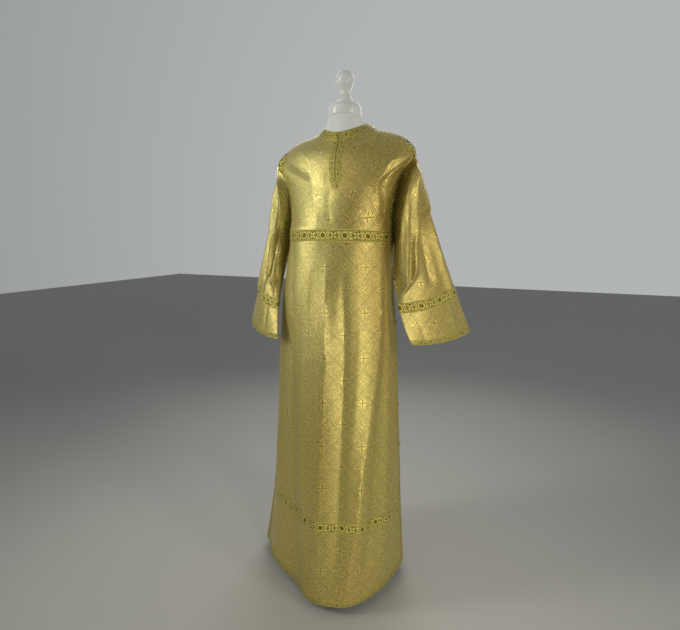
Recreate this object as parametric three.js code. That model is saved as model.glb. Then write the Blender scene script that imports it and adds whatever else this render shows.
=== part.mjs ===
// Sticharion of gold brocade with galloon, worn by a limbless dress form.
// Millimetres, +Z up. The robe's front faces -Y. In names "left" and "right" are the wearer's,
// so left is +X (east) and right -X (west). The tables count from the floor under the pole.
import * as THREE from 'three';

// ---------------------------------------------------------------- driving dimensions
const CLOTH = 2.0; // wall of the brocade with its backing
const GALLOON = 1.0; // wall of the woven galloon and edging
const PROUD = 0.3; // air between a panel and what is sewn on it
const SEAM = 0.3; // air between two pieces at a seam
const GALLOON_WIDTH = 34;
const EDGING_WIDTH = 17; // side trims
const SEAM_MARGIN = 3; // bare cloth between an armhole band and the armhole
const STRIP_WIDTH = 19; // one side of the placket
const SLIT_TOP = 4; // width of the neck slit at the collar
const SLIT_BOTTOM = 2;
const PLACKET_POINT = 0.3; // half width of the placket's point, as a share of a strip
const PLACKET_START = 0.02; // start of the placket below the collar band, as a share of a row
const FULLNESS = 0.58; // handle length of the section curves, 0.55 is an ellipse
const LEAN_SLACK = 1.6; // how much of it a lean takes away at the side
const FRONT_HALF_STEPS = 6; // even mesh steps between an edge and the placket
const BACK_HALF_STEPS = 6;

// ---------------------------------------------------------------- the worn form
// One row for each line round the robe, from the neckline to the hem. A row runs from the
// side point "west" over "front" to "east", and back over "back". Side points lie on the
// shoulder ridge, then on the armhole, then on the side seam. "gap" is how far the back edge
// of the armhole lies behind its front edge. "lean" swings the front inwards where it leaves
// the west side, "steps" is the number of mesh rows down to the next line.
const ROWS = [
  // name, west, front, east, back, gap, lean, steps
  ['neckline', [-66, 17, 1489], [10, -64, 1456], [69, 31, 1490], [-2, 80, 1494], 0, 0, 1],
  ['collarEdge', [-83, 12, 1472], [11, -72, 1432], [88, 25, 1475], [-2, 95, 1474], 0, 0, 2],
  ['yoke', [-146, 2, 1449], [14, -98, 1388], [138, 15, 1458], [-4, 118, 1430], 0, 0, 2],
  ['shoulderTip', [-196, -11, 1417], [19, -114, 1336], [187, 5, 1435], [-3, 124, 1385], 0, 0.1, 2],
  ['ridgeEnd', [-226, -15, 1378], [22, -124, 1291], [214, 16, 1399], [-2, 124, 1340], 0, 0.24, 2],
  ['armholeHigh', [-196, -24, 1335], [18, -131, 1262], [186, -8, 1352], [-1, 122, 1300], 44, 0.2, 2],
  ['armholeMid', [-178, -24, 1268], [14, -137, 1228], [167, -14, 1276], [0, 118, 1245], 54, 0.12, 2],
  ['armholeLow', [-172, -18, 1208], [9, -142, 1200], [158, -10, 1210], [0, 114, 1204], 44, 0.06, 1],
  ['chestTop', [-173, -8, 1172], [8, -145, 1179], [158, -5, 1172], [0, 112, 1172], 26, 0, 1],
  ['underarm', [-177, 2, 1138], [8, -147, 1145], [160, 0, 1138], [0, 113, 1138], 0, 0, 2],
  ['waist', [-205, 10, 1000], [9, -156, 1000], [162, 8, 1000], [-2, 124, 1000], 0, 0, 2],
  ['hip', [-221, 14, 850], [10, -166, 850], [167, 22, 850], [-6, 144, 850], 0, 0.02, 2],
  ['thigh', [-243, 12, 650], [11, -180, 650], [172, 36, 650], [-10, 172, 650], 0, 0.06, 2],
  ['knee', [-261, 6, 450], [12, -192, 450], [178, 49, 450], [-16, 202, 450], 0, 0.1, 2],
  ['hemBandTop', [-276, -3, 264], [14, -203, 303], [182, 64, 262], [-22, 226, 255], 0, 0.16, 1],
  ['hemBandBottom', [-282, -2, 230], [14, -205, 269], [183, 68, 228], [-24, 230, 221], 0, 0.17, 2],
  ['hemTrimTop', [-319, 4, 47], [15, -219, 47], [188, 84, 47], [-30, 248, 47], 0, 0.2, 1],
  ['hem', [-324, 5, 30], [15, -220, 30], [189, 86, 30], [-30, 250, 30], 0, 0.2, 0],
].map(([name, west, front, east, back, gap, lean, steps]) => (
  { name, west, front, east, back, gap, lean, steps }
));
const SKIRT_LEAN = { backEast: 0.16, backWest: 0.04, frontEast: -0.01 }; // below the armholes

// Folds of skirt and chest. "top" and "bottom" are the fold's place across the panel (-1 at
// the west seam, 0 in the middle, 1 at the east seam) at the heights "high" and "low" between
// which it runs; "wide" is its half width on that scale and "rise" its height in mm.
const FRONT_FOLDS = [
  { name: 'westRidge', top: 0.1, bottom: -0.06, high: 1160, low: 0, wide: 0.11, rise: 7 },
  { name: 'midTrough', top: 0.31, bottom: 0.12, high: 1150, low: -60, wide: 0.11, rise: -8 },
  { name: 'eastRidge', top: 0.74, bottom: 0.17, high: 1190, low: -60, wide: 0.12, rise: 10 },
  { name: 'eastTrough', top: 0.84, bottom: 0.38, high: 1000, low: 60, wide: 0.09, rise: -6 },
  { name: 'eastRim', top: 0.88, bottom: 0.6, high: 1040, low: 40, wide: 0.08, rise: 4 },
  { name: 'westTrough', top: -0.42, bottom: -0.3, high: 900, low: -120, wide: 0.15, rise: -12 },
  { name: 'westFlare', top: -0.7, bottom: -0.7, high: 640, low: -120, wide: 0.13, rise: 7 },
];
const BACK_FOLDS = [
  { name: 'westFold', top: -0.3, bottom: -0.5, high: 1130, low: -60, wide: 0.14, rise: 12 },
  { name: 'westHollow', top: -0.02, bottom: -0.2, high: 1120, low: -80, wide: 0.13, rise: -11 },
  { name: 'midFold', top: 0.14, bottom: 0.1, high: 1200, low: -80, wide: 0.13, rise: 11 },
  { name: 'eastHollow', top: 0.4, bottom: 0.38, high: 1080, low: -60, wide: 0.13, rise: -10 },
  { name: 'eastFold', top: 0.6, bottom: 0.64, high: 1000, low: -60, wide: 0.12, rise: 8 },
];

// Sleeves. "outer" and "inner" are the two creases of the flattened cuff, "bulge" how far
// each face stands out between them. "leave" is the way the cloth leaves the armhole and
// "arrive" the way it reaches the cuff: outwards, forwards, down. In "leaveSide" the middle
// number points to the front on the front face and to the back on the back one. "bandOuter"
// and "bandInner" are the height of the sleeve band above the cuff, along each crease. "ridge"
// is how far the cloth stands outwards and forwards beside the deep groove along the armhole,
// and "puff" how high it stands over the shoulder's end.
const SLEEVES = {
  left: {
    side: 1, outer: [374, 144, 859], inner: [237, -46, 842], bulge: 20,
    leaveTop: [20, -4, 100], leaveSide: [54, 62, 80], leaveUnder: [14, 40, 110],
    arriveOuter: [74, -56, 210], arriveInner: [50, -20, 110], bandOuter: 130, bandInner: 100,
    ridge: [36, 50], puff: 8,
  },
  right: {
    side: -1, outer: [-355, 0, 870], inner: [-162, -150, 846], bulge: 22,
    leaveTop: [4, 4, 110], leaveSide: [36, 60, 90], leaveUnder: [34, 62, 70],
    arriveOuter: [64, -8, 210], arriveInner: [-20, 40, 110], bandOuter: 106, bandInner: 92,
    ridge: [8, 16], puff: 0,
  },
};
const SLEEVE_FRONT_STEPS = 13; // mesh steps across the front face
const SLEEVE_BACK_STEPS = 9;
const SLEEVE_LENGTH_STEPS = 10; // mesh steps from the armhole to the sleeve band
const CUFF_TRIM = 17;
const START_ON = 2.6; // start of the sleeve: air beyond the cloth's edge at the shoulder
const START_OFF = 0.45; // and air off its face further down
const START_EDGE = 0.15; // air beyond the edge all the way round
const SHOULDER_FROM = 0.55; // part of the armhole's height that counts as its shoulder
const SHOULDER_OVER = 0.35; // and over which START_ON grows
const CUFF_SAG = 8; // sag of the cuff's front face between its creases
const CUFF_SAG_BACK = 0.4; // and of its back face, as a share of that
const ROUNDNESS = 0.75; // 1 gives the cuff sharp creases
const GROOVE_RUN = 30; // from the armhole to the ridge beside the groove
const GROOVE_FADE = 190; // and over which that ridge dies away
const GROOVE_ENDS = 0.2; // share of a face over which it grows from the shoulder and underarm
const GROOVE_BACK = 0.5; // depth on the back face

// Folds of each sleeve: "top" and "bottom" are the place across the front face (0 at the outer
// crease, 1 at the inner one, 1 to 2 on the back) at "from" and "to", shares of the length.
const SLEEVE_FOLDS = {
  left: [
    { name: 'hangOuter', top: 0.14, bottom: 0.66, from: 0.02, to: 0.54, wide: 0.07, rise: 8 },
    { name: 'hangInner', top: 0.54, bottom: 0.8, from: 0.06, to: 0.56, wide: 0.07, rise: 8 },
    { name: 'hangHollow', top: 0.36, bottom: 0.73, from: 0.06, to: 0.52, wide: 0.06, rise: -7 },
    { name: 'outerRidge', top: 0.1, bottom: 0.1, from: 0.04, to: 0.85, wide: 0.06, rise: 7 },
    { name: 'outerHollow', top: 0.22, bottom: 0.38, from: 0.06, to: 0.66, wide: 0.08, rise: -9 },
    { name: 'backHollow', top: 1.5, bottom: 1.5, from: 0.06, to: 0.8, wide: 0.16, rise: -10 },
  ],
  right: [
    { name: 'hangOuter', top: 0.5, bottom: 0.56, from: 0.02, to: 0.6, wide: 0.07, rise: 8 },
    { name: 'hangInner', top: 0.84, bottom: 0.74, from: 0.1, to: 0.6, wide: 0.07, rise: 8 },
    { name: 'hangHollow', top: 0.68, bottom: 0.66, from: 0.1, to: 0.56, wide: 0.06, rise: -7 },
    { name: 'outerRidge', top: 0.2, bottom: 0.14, from: 0.02, to: 0.8, wide: 0.07, rise: 9 },
    { name: 'outerHollow', top: 0.34, bottom: 0.36, from: 0.04, to: 0.7, wide: 0.08, rise: -9 },
    { name: 'backHollow', top: 1.5, bottom: 1.5, from: 0.06, to: 0.8, wide: 0.16, rise: -10 },
  ],
};
const CAP_PUFF = { name: 'capPuff', top: 0, bottom: 0, from: 0, to: 0.3, wide: 0.16 };

// Small ball buttons that close the sides, and the one at the neck.
const SIDE_BUTTON_HEIGHTS = [1030, 895, 760, 622, 485];
const BUTTON_RADIUS = 4;
const BUTTON_PLACE = 0.35; // between a trim's edge at the seam and its far edge

// Dress form: rings below the robe's own, as half widths, front and back of an oval.
const NECK_RINGS = [
  { z: 1510.2, wide: 49, front: -48, back: 49 },
  { z: 1502, wide: 51.5, front: -51, back: 53 },
  { z: 1494, wide: 55, front: -54, back: 57 },
];
const TRUNK_RINGS = [
  { z: 1090, wide: 142, front: -118, back: 98 },
  { z: 1000, wide: 134, front: -108, back: 92 },
  { z: 900, wide: 148, front: -112, back: 108 },
  { z: 800, wide: 146, front: -108, back: 112 },
];
const FORM_FRONT_STEPS = 14;
const FORM_BACK_STEPS = 12;
const FORM_AIR_TOP = 1.4; // between cloth and form on the shoulders
const FORM_AIR_CHEST = 7;
// Turned parts, from the foot up: [radius, height].
const CAP_PROFILE = [
  [0, 1510.5], [48.5, 1510.5], [49, 1516], [48.6, 1528], [47, 1536], [43.5, 1542], [38, 1545.5],
  [30, 1547], [0, 1547],
];
const KNOB_PROFILE = [
  [0, 1547.3], [23.5, 1547.3], [24, 1551], [23, 1556], [19.5, 1563], [15.5, 1571], [13.5, 1578],
  [15, 1584], [20, 1591], [25, 1601], [27, 1611], [25.8, 1621], [21, 1631], [12, 1638.5], [0, 1641],
];
const POLE_RADIUS = 14;
const BASE_RADIUS = 150;
const BASE_HEIGHT = 14;

// ---------------------------------------------------------------- small maths
const vec = (x, y, z) => new THREE.Vector3(x, y, z);
const mix = (a, b, t) => a + (b - a) * t;
const mixVec = (a, b, t) => a.clone().lerp(b, t);

function smooth(t) {
  const c = Math.min(1, Math.max(0, t));
  return c * c * (3 - 2 * c);
}

function countTo(from, to) {
  const step = from <= to ? 1 : -1;
  return Array.from({ length: Math.abs(to - from) + 1 }, (_, k) => from + k * step);
}

// Monotone cubic through (knots, values), evaluated at x.
function monotone(knots, values, x) {
  const last = knots.length - 1;
  let k = 0;
  while (k < last - 1 && x > knots[k + 1]) k += 1;
  const slope = (i) => (values[i + 1] - values[i]) / (knots[i + 1] - knots[i]);
  const tangent = (i) => {
    if (i === 0) return slope(0);
    if (i === last) return slope(last - 1);
    const a = slope(i - 1);
    const b = slope(i);
    return a * b <= 0 ? 0 : (2 * a * b) / (a + b);
  };
  const h = knots[k + 1] - knots[k];
  const t = (x - knots[k]) / h;
  const t2 = t * t;
  const t3 = t2 * t;
  return (2 * t3 - 3 * t2 + 1) * values[k] + (t3 - 2 * t2 + t) * h * tangent(k)
    + (3 * t2 - 2 * t3) * values[k + 1] + (t3 - t2) * h * tangent(k + 1);
}

function bezier(p0, p1, p2, p3, t) {
  const s = 1 - t;
  return vec(0, 0, 0)
    .addScaledVector(p0, s * s * s)
    .addScaledVector(p1, 3 * s * s * t)
    .addScaledVector(p2, 3 * s * t * t)
    .addScaledVector(p3, t * t * t);
}

const bezierLine = (p0, p1, p2, p3, steps) => (
  countTo(0, steps).map((i) => bezier(p0, p1, p2, p3, i / steps))
);

function lineLength(points) {
  let sum = 0;
  for (let i = 1; i < points.length; i += 1) sum += points[i].distanceTo(points[i - 1]);
  return sum;
}

function alongLine(points, distance) {
  let left = distance;
  for (let i = 0; i < points.length - 2; i += 1) {
    const step = points[i].distanceTo(points[i + 1]);
    if (left <= step) return mixVec(points[i], points[i + 1], left / step);
    left -= step;
  }
  const [a, b] = points.slice(-2);
  return mixVec(a, b, Math.min(1, left / a.distanceTo(b)));
}

// ---------------------------------------------------------------- sheets with a wall
// The two triangles of a cell. "mirror" picks the other diagonal.
function cellTriangles(i, j, mirror) {
  const a = [i, j];
  const b = [i, j + 1];
  const c = [i + 1, j];
  const d = [i + 1, j + 1];
  return mirror ? [[a, c, d], [a, d, b]] : [[a, c, b], [b, c, d]];
}

// Vector that moves a corner so that each facet beside it moves out by 1: least squares over
// the facet normals, damped so that a flat corner moves along its normal.
const DAMPING = 0.04;

function cornerVector(normals) {
  const m = new THREE.Matrix3().set(0, 0, 0, 0, 0, 0, 0, 0, 0);
  const mean = vec(0, 0, 0);
  for (const n of normals) {
    const v = n.toArray();
    for (let k = 0; k < 9; k += 1) m.elements[k] += v[Math.floor(k / 3)] * v[k % 3];
    mean.add(n);
  }
  mean.normalize();
  const rest = vec(0, 0, 0);
  for (const n of normals) rest.addScaledVector(n, 1 - n.dot(mean));
  for (const k of [0, 4, 8]) m.elements[k] += DAMPING * normals.length;
  return mean.add(rest.applyMatrix3(m.invert()));
}

// Facet normals that meet at each corner of a grid of points.
function gridNormals(grid, { wrap = false, mirror = () => false } = {}) {
  const cols = grid[0].length;
  const normals = grid.map((row) => row.map(() => []));
  for (let i = 0; i < grid.length - 1; i += 1) {
    for (let j = 0; j < (wrap ? cols : cols - 1); j += 1) {
      for (const triangle of cellTriangles(i, j, mirror(j))) {
        const [p, q, r] = triangle.map(([y, x]) => grid[y][x % cols]);
        const n = q.clone().sub(p).cross(r.clone().sub(p)).normalize();
        triangle.forEach(([y, x]) => normals[y][x % cols].push(n));
      }
    }
  }
  return normals;
}

const moveGrid = (grid, vectors, distance) => grid.map((row, i) => (
  row.map((p, j) => p.clone().addScaledVector(vectors[i][j], distance))
));

// Closed solid between two grids of points, "outer" seen from outside and "inner" behind it.
// "mask" says which cells are cloth, and "wrap" joins the last column to the first.
function sheetGeometry(outer, inner, options = {}) {
  const { wrap = false, mirror = () => false, mask = () => true } = options;
  const rows = outer.length;
  const cols = outer[0].length;
  const cellCols = wrap ? cols : cols - 1;
  const numbers = new Map();
  const position = [];
  const index = [];
  const corner = (layer, i, j) => {
    const key = (layer * rows + i) * cols + (j % cols);
    if (!numbers.has(key)) {
      numbers.set(key, position.length / 3);
      position.push(...(layer ? inner : outer)[i][j % cols].toArray());
    }
    return numbers.get(key);
  };
  const isCloth = (i, j) => {
    if (i < 0 || i >= rows - 1) return false;
    if (!wrap && (j < 0 || j >= cellCols)) return false;
    return mask(i, (j + cellCols) % cellCols);
  };
  const wall = (i0, j0, i1, j1) => {
    const [a, b, c, d] = [corner(0, i0, j0), corner(0, i1, j1), corner(1, i0, j0), corner(1, i1, j1)];
    index.push(a, b, d, a, d, c);
  };
  for (const i of countTo(0, rows - 2)) {
    for (const j of countTo(0, cellCols - 1).filter((k) => isCloth(i, k))) {
      for (const triangle of cellTriangles(i, j, mirror(j))) {
        index.push(...triangle.map(([y, x]) => corner(0, y, x)));
        index.push(...triangle.map(([y, x]) => corner(1, y, x)).reverse());
      }
      if (!isCloth(i - 1, j)) wall(i, j, i, j + 1);
      if (!isCloth(i + 1, j)) wall(i + 1, j + 1, i + 1, j);
      if (!isCloth(i, j - 1)) wall(i + 1, j, i, j);
      if (!isCloth(i, j + 1)) wall(i, j + 1, i + 1, j + 1);
    }
  }
  const geometry = new THREE.BufferGeometry();
  geometry.setAttribute('position', new THREE.Float32BufferAttribute(position, 3));
  geometry.setIndex(index);
  geometry.computeVertexNormals();
  return geometry;
}

// Closed solid skinned over a stack of rings from top to bottom, with a flat lid at each end.
function stackGeometry(rings) {
  const cols = rings[0].length;
  const position = rings.flat().flatMap((p) => p.toArray());
  const index = [];
  for (const i of countTo(0, rings.length - 2)) {
    for (const j of countTo(0, cols - 1)) {
      const [a, b] = [i * cols + j, i * cols + ((j + 1) % cols)];
      index.push(a, a + cols, b, b, a + cols, b + cols);
    }
  }
  const lid = (ring, flip) => {
    const middle = position.length / 3;
    const centre = rings[ring].reduce((sum, p) => sum.add(p), vec(0, 0, 0)).divideScalar(cols);
    position.push(...centre.toArray());
    for (const j of countTo(0, cols - 1)) {
      const [a, b] = [ring * cols + j, ring * cols + ((j + 1) % cols)];
      index.push(middle, ...(flip ? [b, a] : [a, b]));
    }
  };
  lid(0, false);
  lid(rings.length - 1, true);
  const geometry = new THREE.BufferGeometry();
  geometry.setAttribute('position', new THREE.Float32BufferAttribute(position, 3));
  geometry.setIndex(index);
  geometry.computeVertexNormals();
  return geometry;
}

// ---------------------------------------------------------------- materials and the group
const MATERIALS = {
  brocade: { color: 0xbfa85a, roughness: 0.42, metalness: 0.35 },
  galloon: { color: 0xa8902c, roughness: 0.38, metalness: 0.45 },
  button: { color: 0x3a2f14, roughness: 0.4, metalness: 0.3 },
  jersey: { color: 0xd8dcdc, roughness: 0.85, metalness: 0 },
  paintedWood: { color: 0xe6e8e8, roughness: 0.3, metalness: 0 },
  paintedSteel: { color: 0xd9dadb, roughness: 0.4, metalness: 0.2 },
};

const robeOnForm = new THREE.Group();

function add(name, geometry, material) {
  const mesh = new THREE.Mesh(geometry, new THREE.MeshStandardMaterial(MATERIALS[material]));
  mesh.name = name;
  robeOnForm.add(mesh);
  return mesh;
}

// ---------------------------------------------------------------- rows of the robe
// Knots are spaced like the real distance down the front, so that the rows blend evenly.
const KNOTS = [0];
for (const i of countTo(1, ROWS.length - 1)) {
  KNOTS.push(KNOTS[i - 1] + vec(...ROWS[i - 1].front).distanceTo(vec(...ROWS[i].front)));
}
const knotOf = (name) => KNOTS[ROWS.findIndex((row) => row.name === name)];
const track = (key, axis) => ROWS.map((row) => (axis === undefined ? row[key] : row[key][axis]));
const rowValue = (key, knot) => monotone(KNOTS, track(key), knot);
const rowPoint = (key, knot) => vec(...[0, 1, 2].map((axis) => monotone(KNOTS, track(key, axis), knot)));

// Knots of the mesh rows, and the mesh row of each named line.
const MESH_KNOTS = [];
const LINE = {};
ROWS.forEach((row, i) => {
  LINE[row.name] = MESH_KNOTS.length;
  for (const s of countTo(0, Math.max(0, row.steps - 1))) {
    MESH_KNOTS.push(row.steps ? mix(KNOTS[i], KNOTS[i + 1], s / row.steps) : KNOTS[i]);
  }
});

// Half of a row, from the side point to the middle of the front or back.
const SIDE_CLIMB = 0.3; // share of the climb already made at the side handle

function halfRow(knot, sideKey, face) {
  const side = rowPoint(sideKey, knot);
  const middle = rowPoint(face, knot);
  if (face === 'back') side.y += rowValue('gap', knot);
  const skirt = smooth((knot - knotOf('armholeLow')) / (knotOf('waist') - knotOf('armholeLow')));
  const climb = mix(SIDE_CLIMB, 1, skirt);
  let lean = rowValue('lean', knot);
  if (face === 'back' || sideKey === 'east') {
    lean = skirt * SKIRT_LEAN[face + (sideKey === 'east' ? 'East' : 'West')];
  }
  const across = middle.clone().sub(side);
  const sideHandle = vec(
    side.x + across.x * lean,
    side.y + across.y * (FULLNESS - LEAN_SLACK * lean),
    side.z + across.z * climb,
  );
  const middleHandle = vec(middle.x - across.x * (FULLNESS - lean), middle.y, middle.z);
  return bezierLine(side, sideHandle, middleHandle, middle, 48);
}

// Distances of the mesh columns from the seam on one half row. Edging, galloon and placket
// keep their widths, and below the slit the placket's columns spread to the even spacing.
const edgeColumns = () => [0, SEAM_MARGIN, EDGING_WIDTH, GALLOON_WIDTH];

function frontColumns(knot, length) {
  const slitEnd = knotOf('ridgeEnd');
  const spread = smooth((knot - slitEnd) / (knotOf('waist') - slitEnd));
  const slit = mix(SLIT_TOP, SLIT_BOTTOM, Math.min(1, knot / slitEnd)) / 2;
  const even = (length - GALLOON_WIDTH) / (FRONT_HALF_STEPS + 1.5);
  const inner = length - mix(slit, even / 2, spread);
  const strip = inner - mix(STRIP_WIDTH, even, spread);
  const between = countTo(1, FRONT_HALF_STEPS - 1)
    .map((i) => mix(GALLOON_WIDTH, strip, i / FRONT_HALF_STEPS));
  return [...edgeColumns(), ...between, strip, inner];
}

function backColumns(knot, length) {
  const between = countTo(1, BACK_HALF_STEPS - 1)
    .map((i) => mix(GALLOON_WIDTH, length, i / BACK_HALF_STEPS));
  return [...edgeColumns(), ...between];
}

const FADE_IN = 0.35; // share of a fold's run over which it grows, and dies away
const FADE_OUT = 0.12;

function foldRise(folds, across, down) {
  let sum = 0;
  for (const fold of folds) {
    const run = down(fold);
    if (run > 0 && run < 1) {
      const away = Math.abs(across - mix(fold.top, fold.bottom, run));
      const nearest = Math.min(away, Math.abs(2 - away)); // a sleeve's 2 is its 0 again
      const fade = smooth(run / FADE_IN) * smooth((1 - run) / FADE_OUT);
      sum += fold.rise * fade * Math.exp(-((nearest / fold.wide) ** 2));
    }
  }
  return sum;
}

// One row of mesh points from the west seam to the east seam.
function meshRow(knot, face) {
  const west = halfRow(knot, 'west', face);
  const east = halfRow(knot, 'east', face);
  const columns = face === 'front' ? frontColumns : backColumns;
  const [westLength, eastLength] = [lineLength(west), lineLength(east)];
  const points = columns(knot, westLength).map((d) => alongLine(west, d));
  if (face === 'back') points.push(west[west.length - 1].clone());
  points.push(...columns(knot, eastLength).reverse().map((d) => alongLine(east, d)));
  const folds = face === 'front' ? FRONT_FOLDS : BACK_FOLDS;
  const last = points.length - 1;
  let run = 0;
  const moved = points.map((p, i) => {
    if (i > 0) run += p.distanceTo(points[i - 1]);
    const along = points[Math.min(last, i + 1)].clone().sub(points[Math.max(0, i - 1)]);
    const out = vec(along.y, -along.x, 0).normalize();
    if (face === 'back') out.negate();
    const across = (2 * run) / (westLength + eastLength) - 1;
    const rise = foldRise(folds, across, (fold) => (fold.high - p.z) / (fold.high - fold.low));
    return p.clone().addScaledVector(out, rise);
  });
  // the seam's air is taken half from each panel
  const pull = (i, next) => {
    moved[i].addScaledVector(moved[next].clone().sub(moved[i]).normalize(), SEAM / 2);
  };
  pull(0, 1);
  pull(last, last - 1);
  return moved;
}

// ---------------------------------------------------------------- front and back panels
// Seen from outside the front runs west to east and the back east to west.
const front = { grid: MESH_KNOTS.map((knot) => meshRow(knot, 'front')) };
const back = { grid: MESH_KNOTS.map((knot) => meshRow(knot, 'back').reverse()) };
for (const panel of [front, back]) {
  panel.cols = panel.grid[0].length;
  panel.mirror = (j) => j >= Math.floor(panel.cols / 2);
  panel.normals = gridNormals(panel.grid, panel);
}

// Along the ridge and the side seams the panels share their edge normals, which mitres their
// walls. Round the armhole each edge is free.
const isOpen = (i) => i > LINE.ridgeEnd && i < LINE.underarm;
for (const [panel, other] of [[front, back], [back, front]]) {
  panel.vectors = panel.normals.map((row, i) => row.map((normals, j) => {
    if (isOpen(i)) return cornerVector(normals);
    if (j === 0) return cornerVector([...normals, ...other.normals[i][other.cols - 1]]);
    if (j === panel.cols - 1) return cornerVector([...normals, ...other.normals[i][0]]);
    return cornerVector(normals);
  }));
}

// The neck slit is the front's middle column, open above the placket's point.
const SLIT = front.cols / 2 - 1;
const SLIT_END = LINE.ridgeEnd - 1;

add('front_panel', sheetGeometry(front.grid, moveGrid(front.grid, front.vectors, -CLOTH), {
  mirror: front.mirror, mask: (i, j) => j !== SLIT || i >= SLIT_END,
}), 'brocade');
add('back_panel', sheetGeometry(back.grid, moveGrid(back.grid, back.vectors, -CLOTH), {
  mirror: back.mirror,
}), 'brocade');

// ---------------------------------------------------------------- what is sewn on the panels
// A trim is made of a panel's own corners, moved out, with its outline drawn in by half the
// seam's air.
function drawIn(points, wrap) {
  const towards = (p, q) => p.clone().addScaledVector(q.clone().sub(p).normalize(), SEAM / 2);
  const last = points.length - 1;
  const inRows = points.map((row, i) => row.map((p, j) => {
    if (i === 0) return towards(p, points[1][j]);
    return i === last ? towards(p, points[last - 1][j]) : p;
  }));
  if (wrap) return inRows;
  return inRows.map((row) => row.map((p, j) => {
    if (j === 0) return towards(p, row[1]);
    return j === row.length - 1 ? towards(p, row[j - 1]) : p;
  }));
}

function addTrim(name, points, moves, options) {
  const drawn = drawIn(points, options.wrap);
  const outer = moveGrid(drawn, moves, PROUD + GALLOON);
  add(name, sheetGeometry(outer, moveGrid(drawn, moves, PROUD), options), 'galloon');
}

function windowTrim(name, panel, [rowFrom, rowTo], [colFrom, colTo]) {
  const cut = (grid) => grid.slice(rowFrom, rowTo + 1).map((row) => row.slice(colFrom, colTo + 1));
  addTrim(name, cut(panel.grid), cut(panel.vectors), { mirror: (j) => panel.mirror(j + colFrom) });
}

const MARGIN_COL = 1; // columns of the named edge widths
const EDGING_COL = 2;
const GALLOON_COL = 3;
const fromEast = (panel, col) => panel.cols - 1 - col;

const chestCols = [GALLOON_COL, fromEast(front, GALLOON_COL)];
windowTrim('chest_band', front, [LINE.chestTop, LINE.underarm], chestCols);
for (const [face, panel] of [['front', front], ['back', back]]) {
  const hemBand = [LINE.hemBandTop, LINE.hemBandBottom];
  const sides = face === 'front' ? ['right', 'left'] : ['left', 'right'];
  const sideRows = [LINE.underarm + 1, LINE.hemTrimTop];
  windowTrim(`hem_band_${face}`, panel, hemBand, [EDGING_COL, fromEast(panel, EDGING_COL)]);
  windowTrim(`hem_trim_${face}`, panel, [LINE.hemTrimTop, LINE.hem], [0, panel.cols - 1]);
  const sideCols = [[0, EDGING_COL], [fromEast(panel, EDGING_COL), panel.cols - 1]];
  sides.forEach((side, k) => windowTrim(`side_trim_${face}_${side}`, panel, sideRows, sideCols[k]));
}

// Across a seam the last column of one panel and the first of the next are one line.
function joinLine(first, second, i) {
  return {
    point: mixVec(first.grid[i][first.cols - 1], second.grid[i][0], 0.5),
    move: mixVec(first.vectors[i][first.cols - 1], second.vectors[i][0], 0.5),
    mirror: false,
  };
}

const panelLine = (panel, i, j) => ({
  point: panel.grid[i][j], move: panel.vectors[i][j], mirror: panel.mirror(j),
});

function addJoinedTrim(name, rows, mask) {
  const mirrors = rows[0].map((cell) => cell.mirror);
  const points = rows.map((row) => row.map((cell) => cell.point));
  const moves = rows.map((row) => row.map((cell) => cell.move));
  addTrim(name, points, moves, { mask, mirror: (j) => mirrors[j] });
}

// The collar band runs round the neckline from one side of the slit to the other.
addJoinedTrim('collar_band', [0, 1].map((i) => [
  ...countTo(SLIT + 1, front.cols - 2).map((j) => panelLine(front, i, j)),
  joinLine(front, back, i),
  ...countTo(1, back.cols - 2).map((j) => panelLine(back, i, j)),
  joinLine(back, front, i),
  ...countTo(1, SLIT).map((j) => panelLine(front, i, j)),
]));

// An armhole band runs up the front edge, over the shoulder and down the back edge. It leaves
// the bare margin on the armhole side, where the sleeve starts.
function armholeBand(name, first, second) {
  const rows = countTo(LINE.shoulderTip, LINE.underarm - 1).map((i) => [
    ...countTo(GALLOON_COL, 1).map((k) => panelLine(first, i, first.cols - 1 - k)),
    joinLine(first, second, i),
    ...countTo(1, GALLOON_COL).map((k) => panelLine(second, i, k)),
  ]);
  const bendRow = LINE.ridgeEnd - LINE.shoulderTip;
  const nearest = (j) => Math.min(Math.abs(j + 1 - GALLOON_COL), Math.abs(j - GALLOON_COL));
  addJoinedTrim(name, rows, (i, j) => i < bendRow || nearest(j) >= MARGIN_COL);
}
armholeBand('armhole_band_left', front, back);
armholeBand('armhole_band_right', back, front);

// The placket frames the slit and closes below it in a point.
function addPlacket() {
  const cols = countTo(SLIT - 1, SLIT + 2);
  const rows = countTo(1, LINE.ridgeEnd).map((i) => cols.map((j) => panelLine(front, i, j)));
  const end = rows[rows.length - 1];
  end[0] = { ...end[0], point: mixVec(end[1].point, end[0].point, PLACKET_POINT) };
  end[3] = { ...end[3], point: mixVec(end[2].point, end[3].point, PLACKET_POINT) };
  rows[0] = rows[0].map((cell, k) => ({
    ...cell, point: mixVec(cell.point, rows[1][k].point, PLACKET_START),
  }));
  addJoinedTrim('placket', rows, (i, j) => j !== 1 || i >= SLIT_END - 1);
}
addPlacket();

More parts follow.
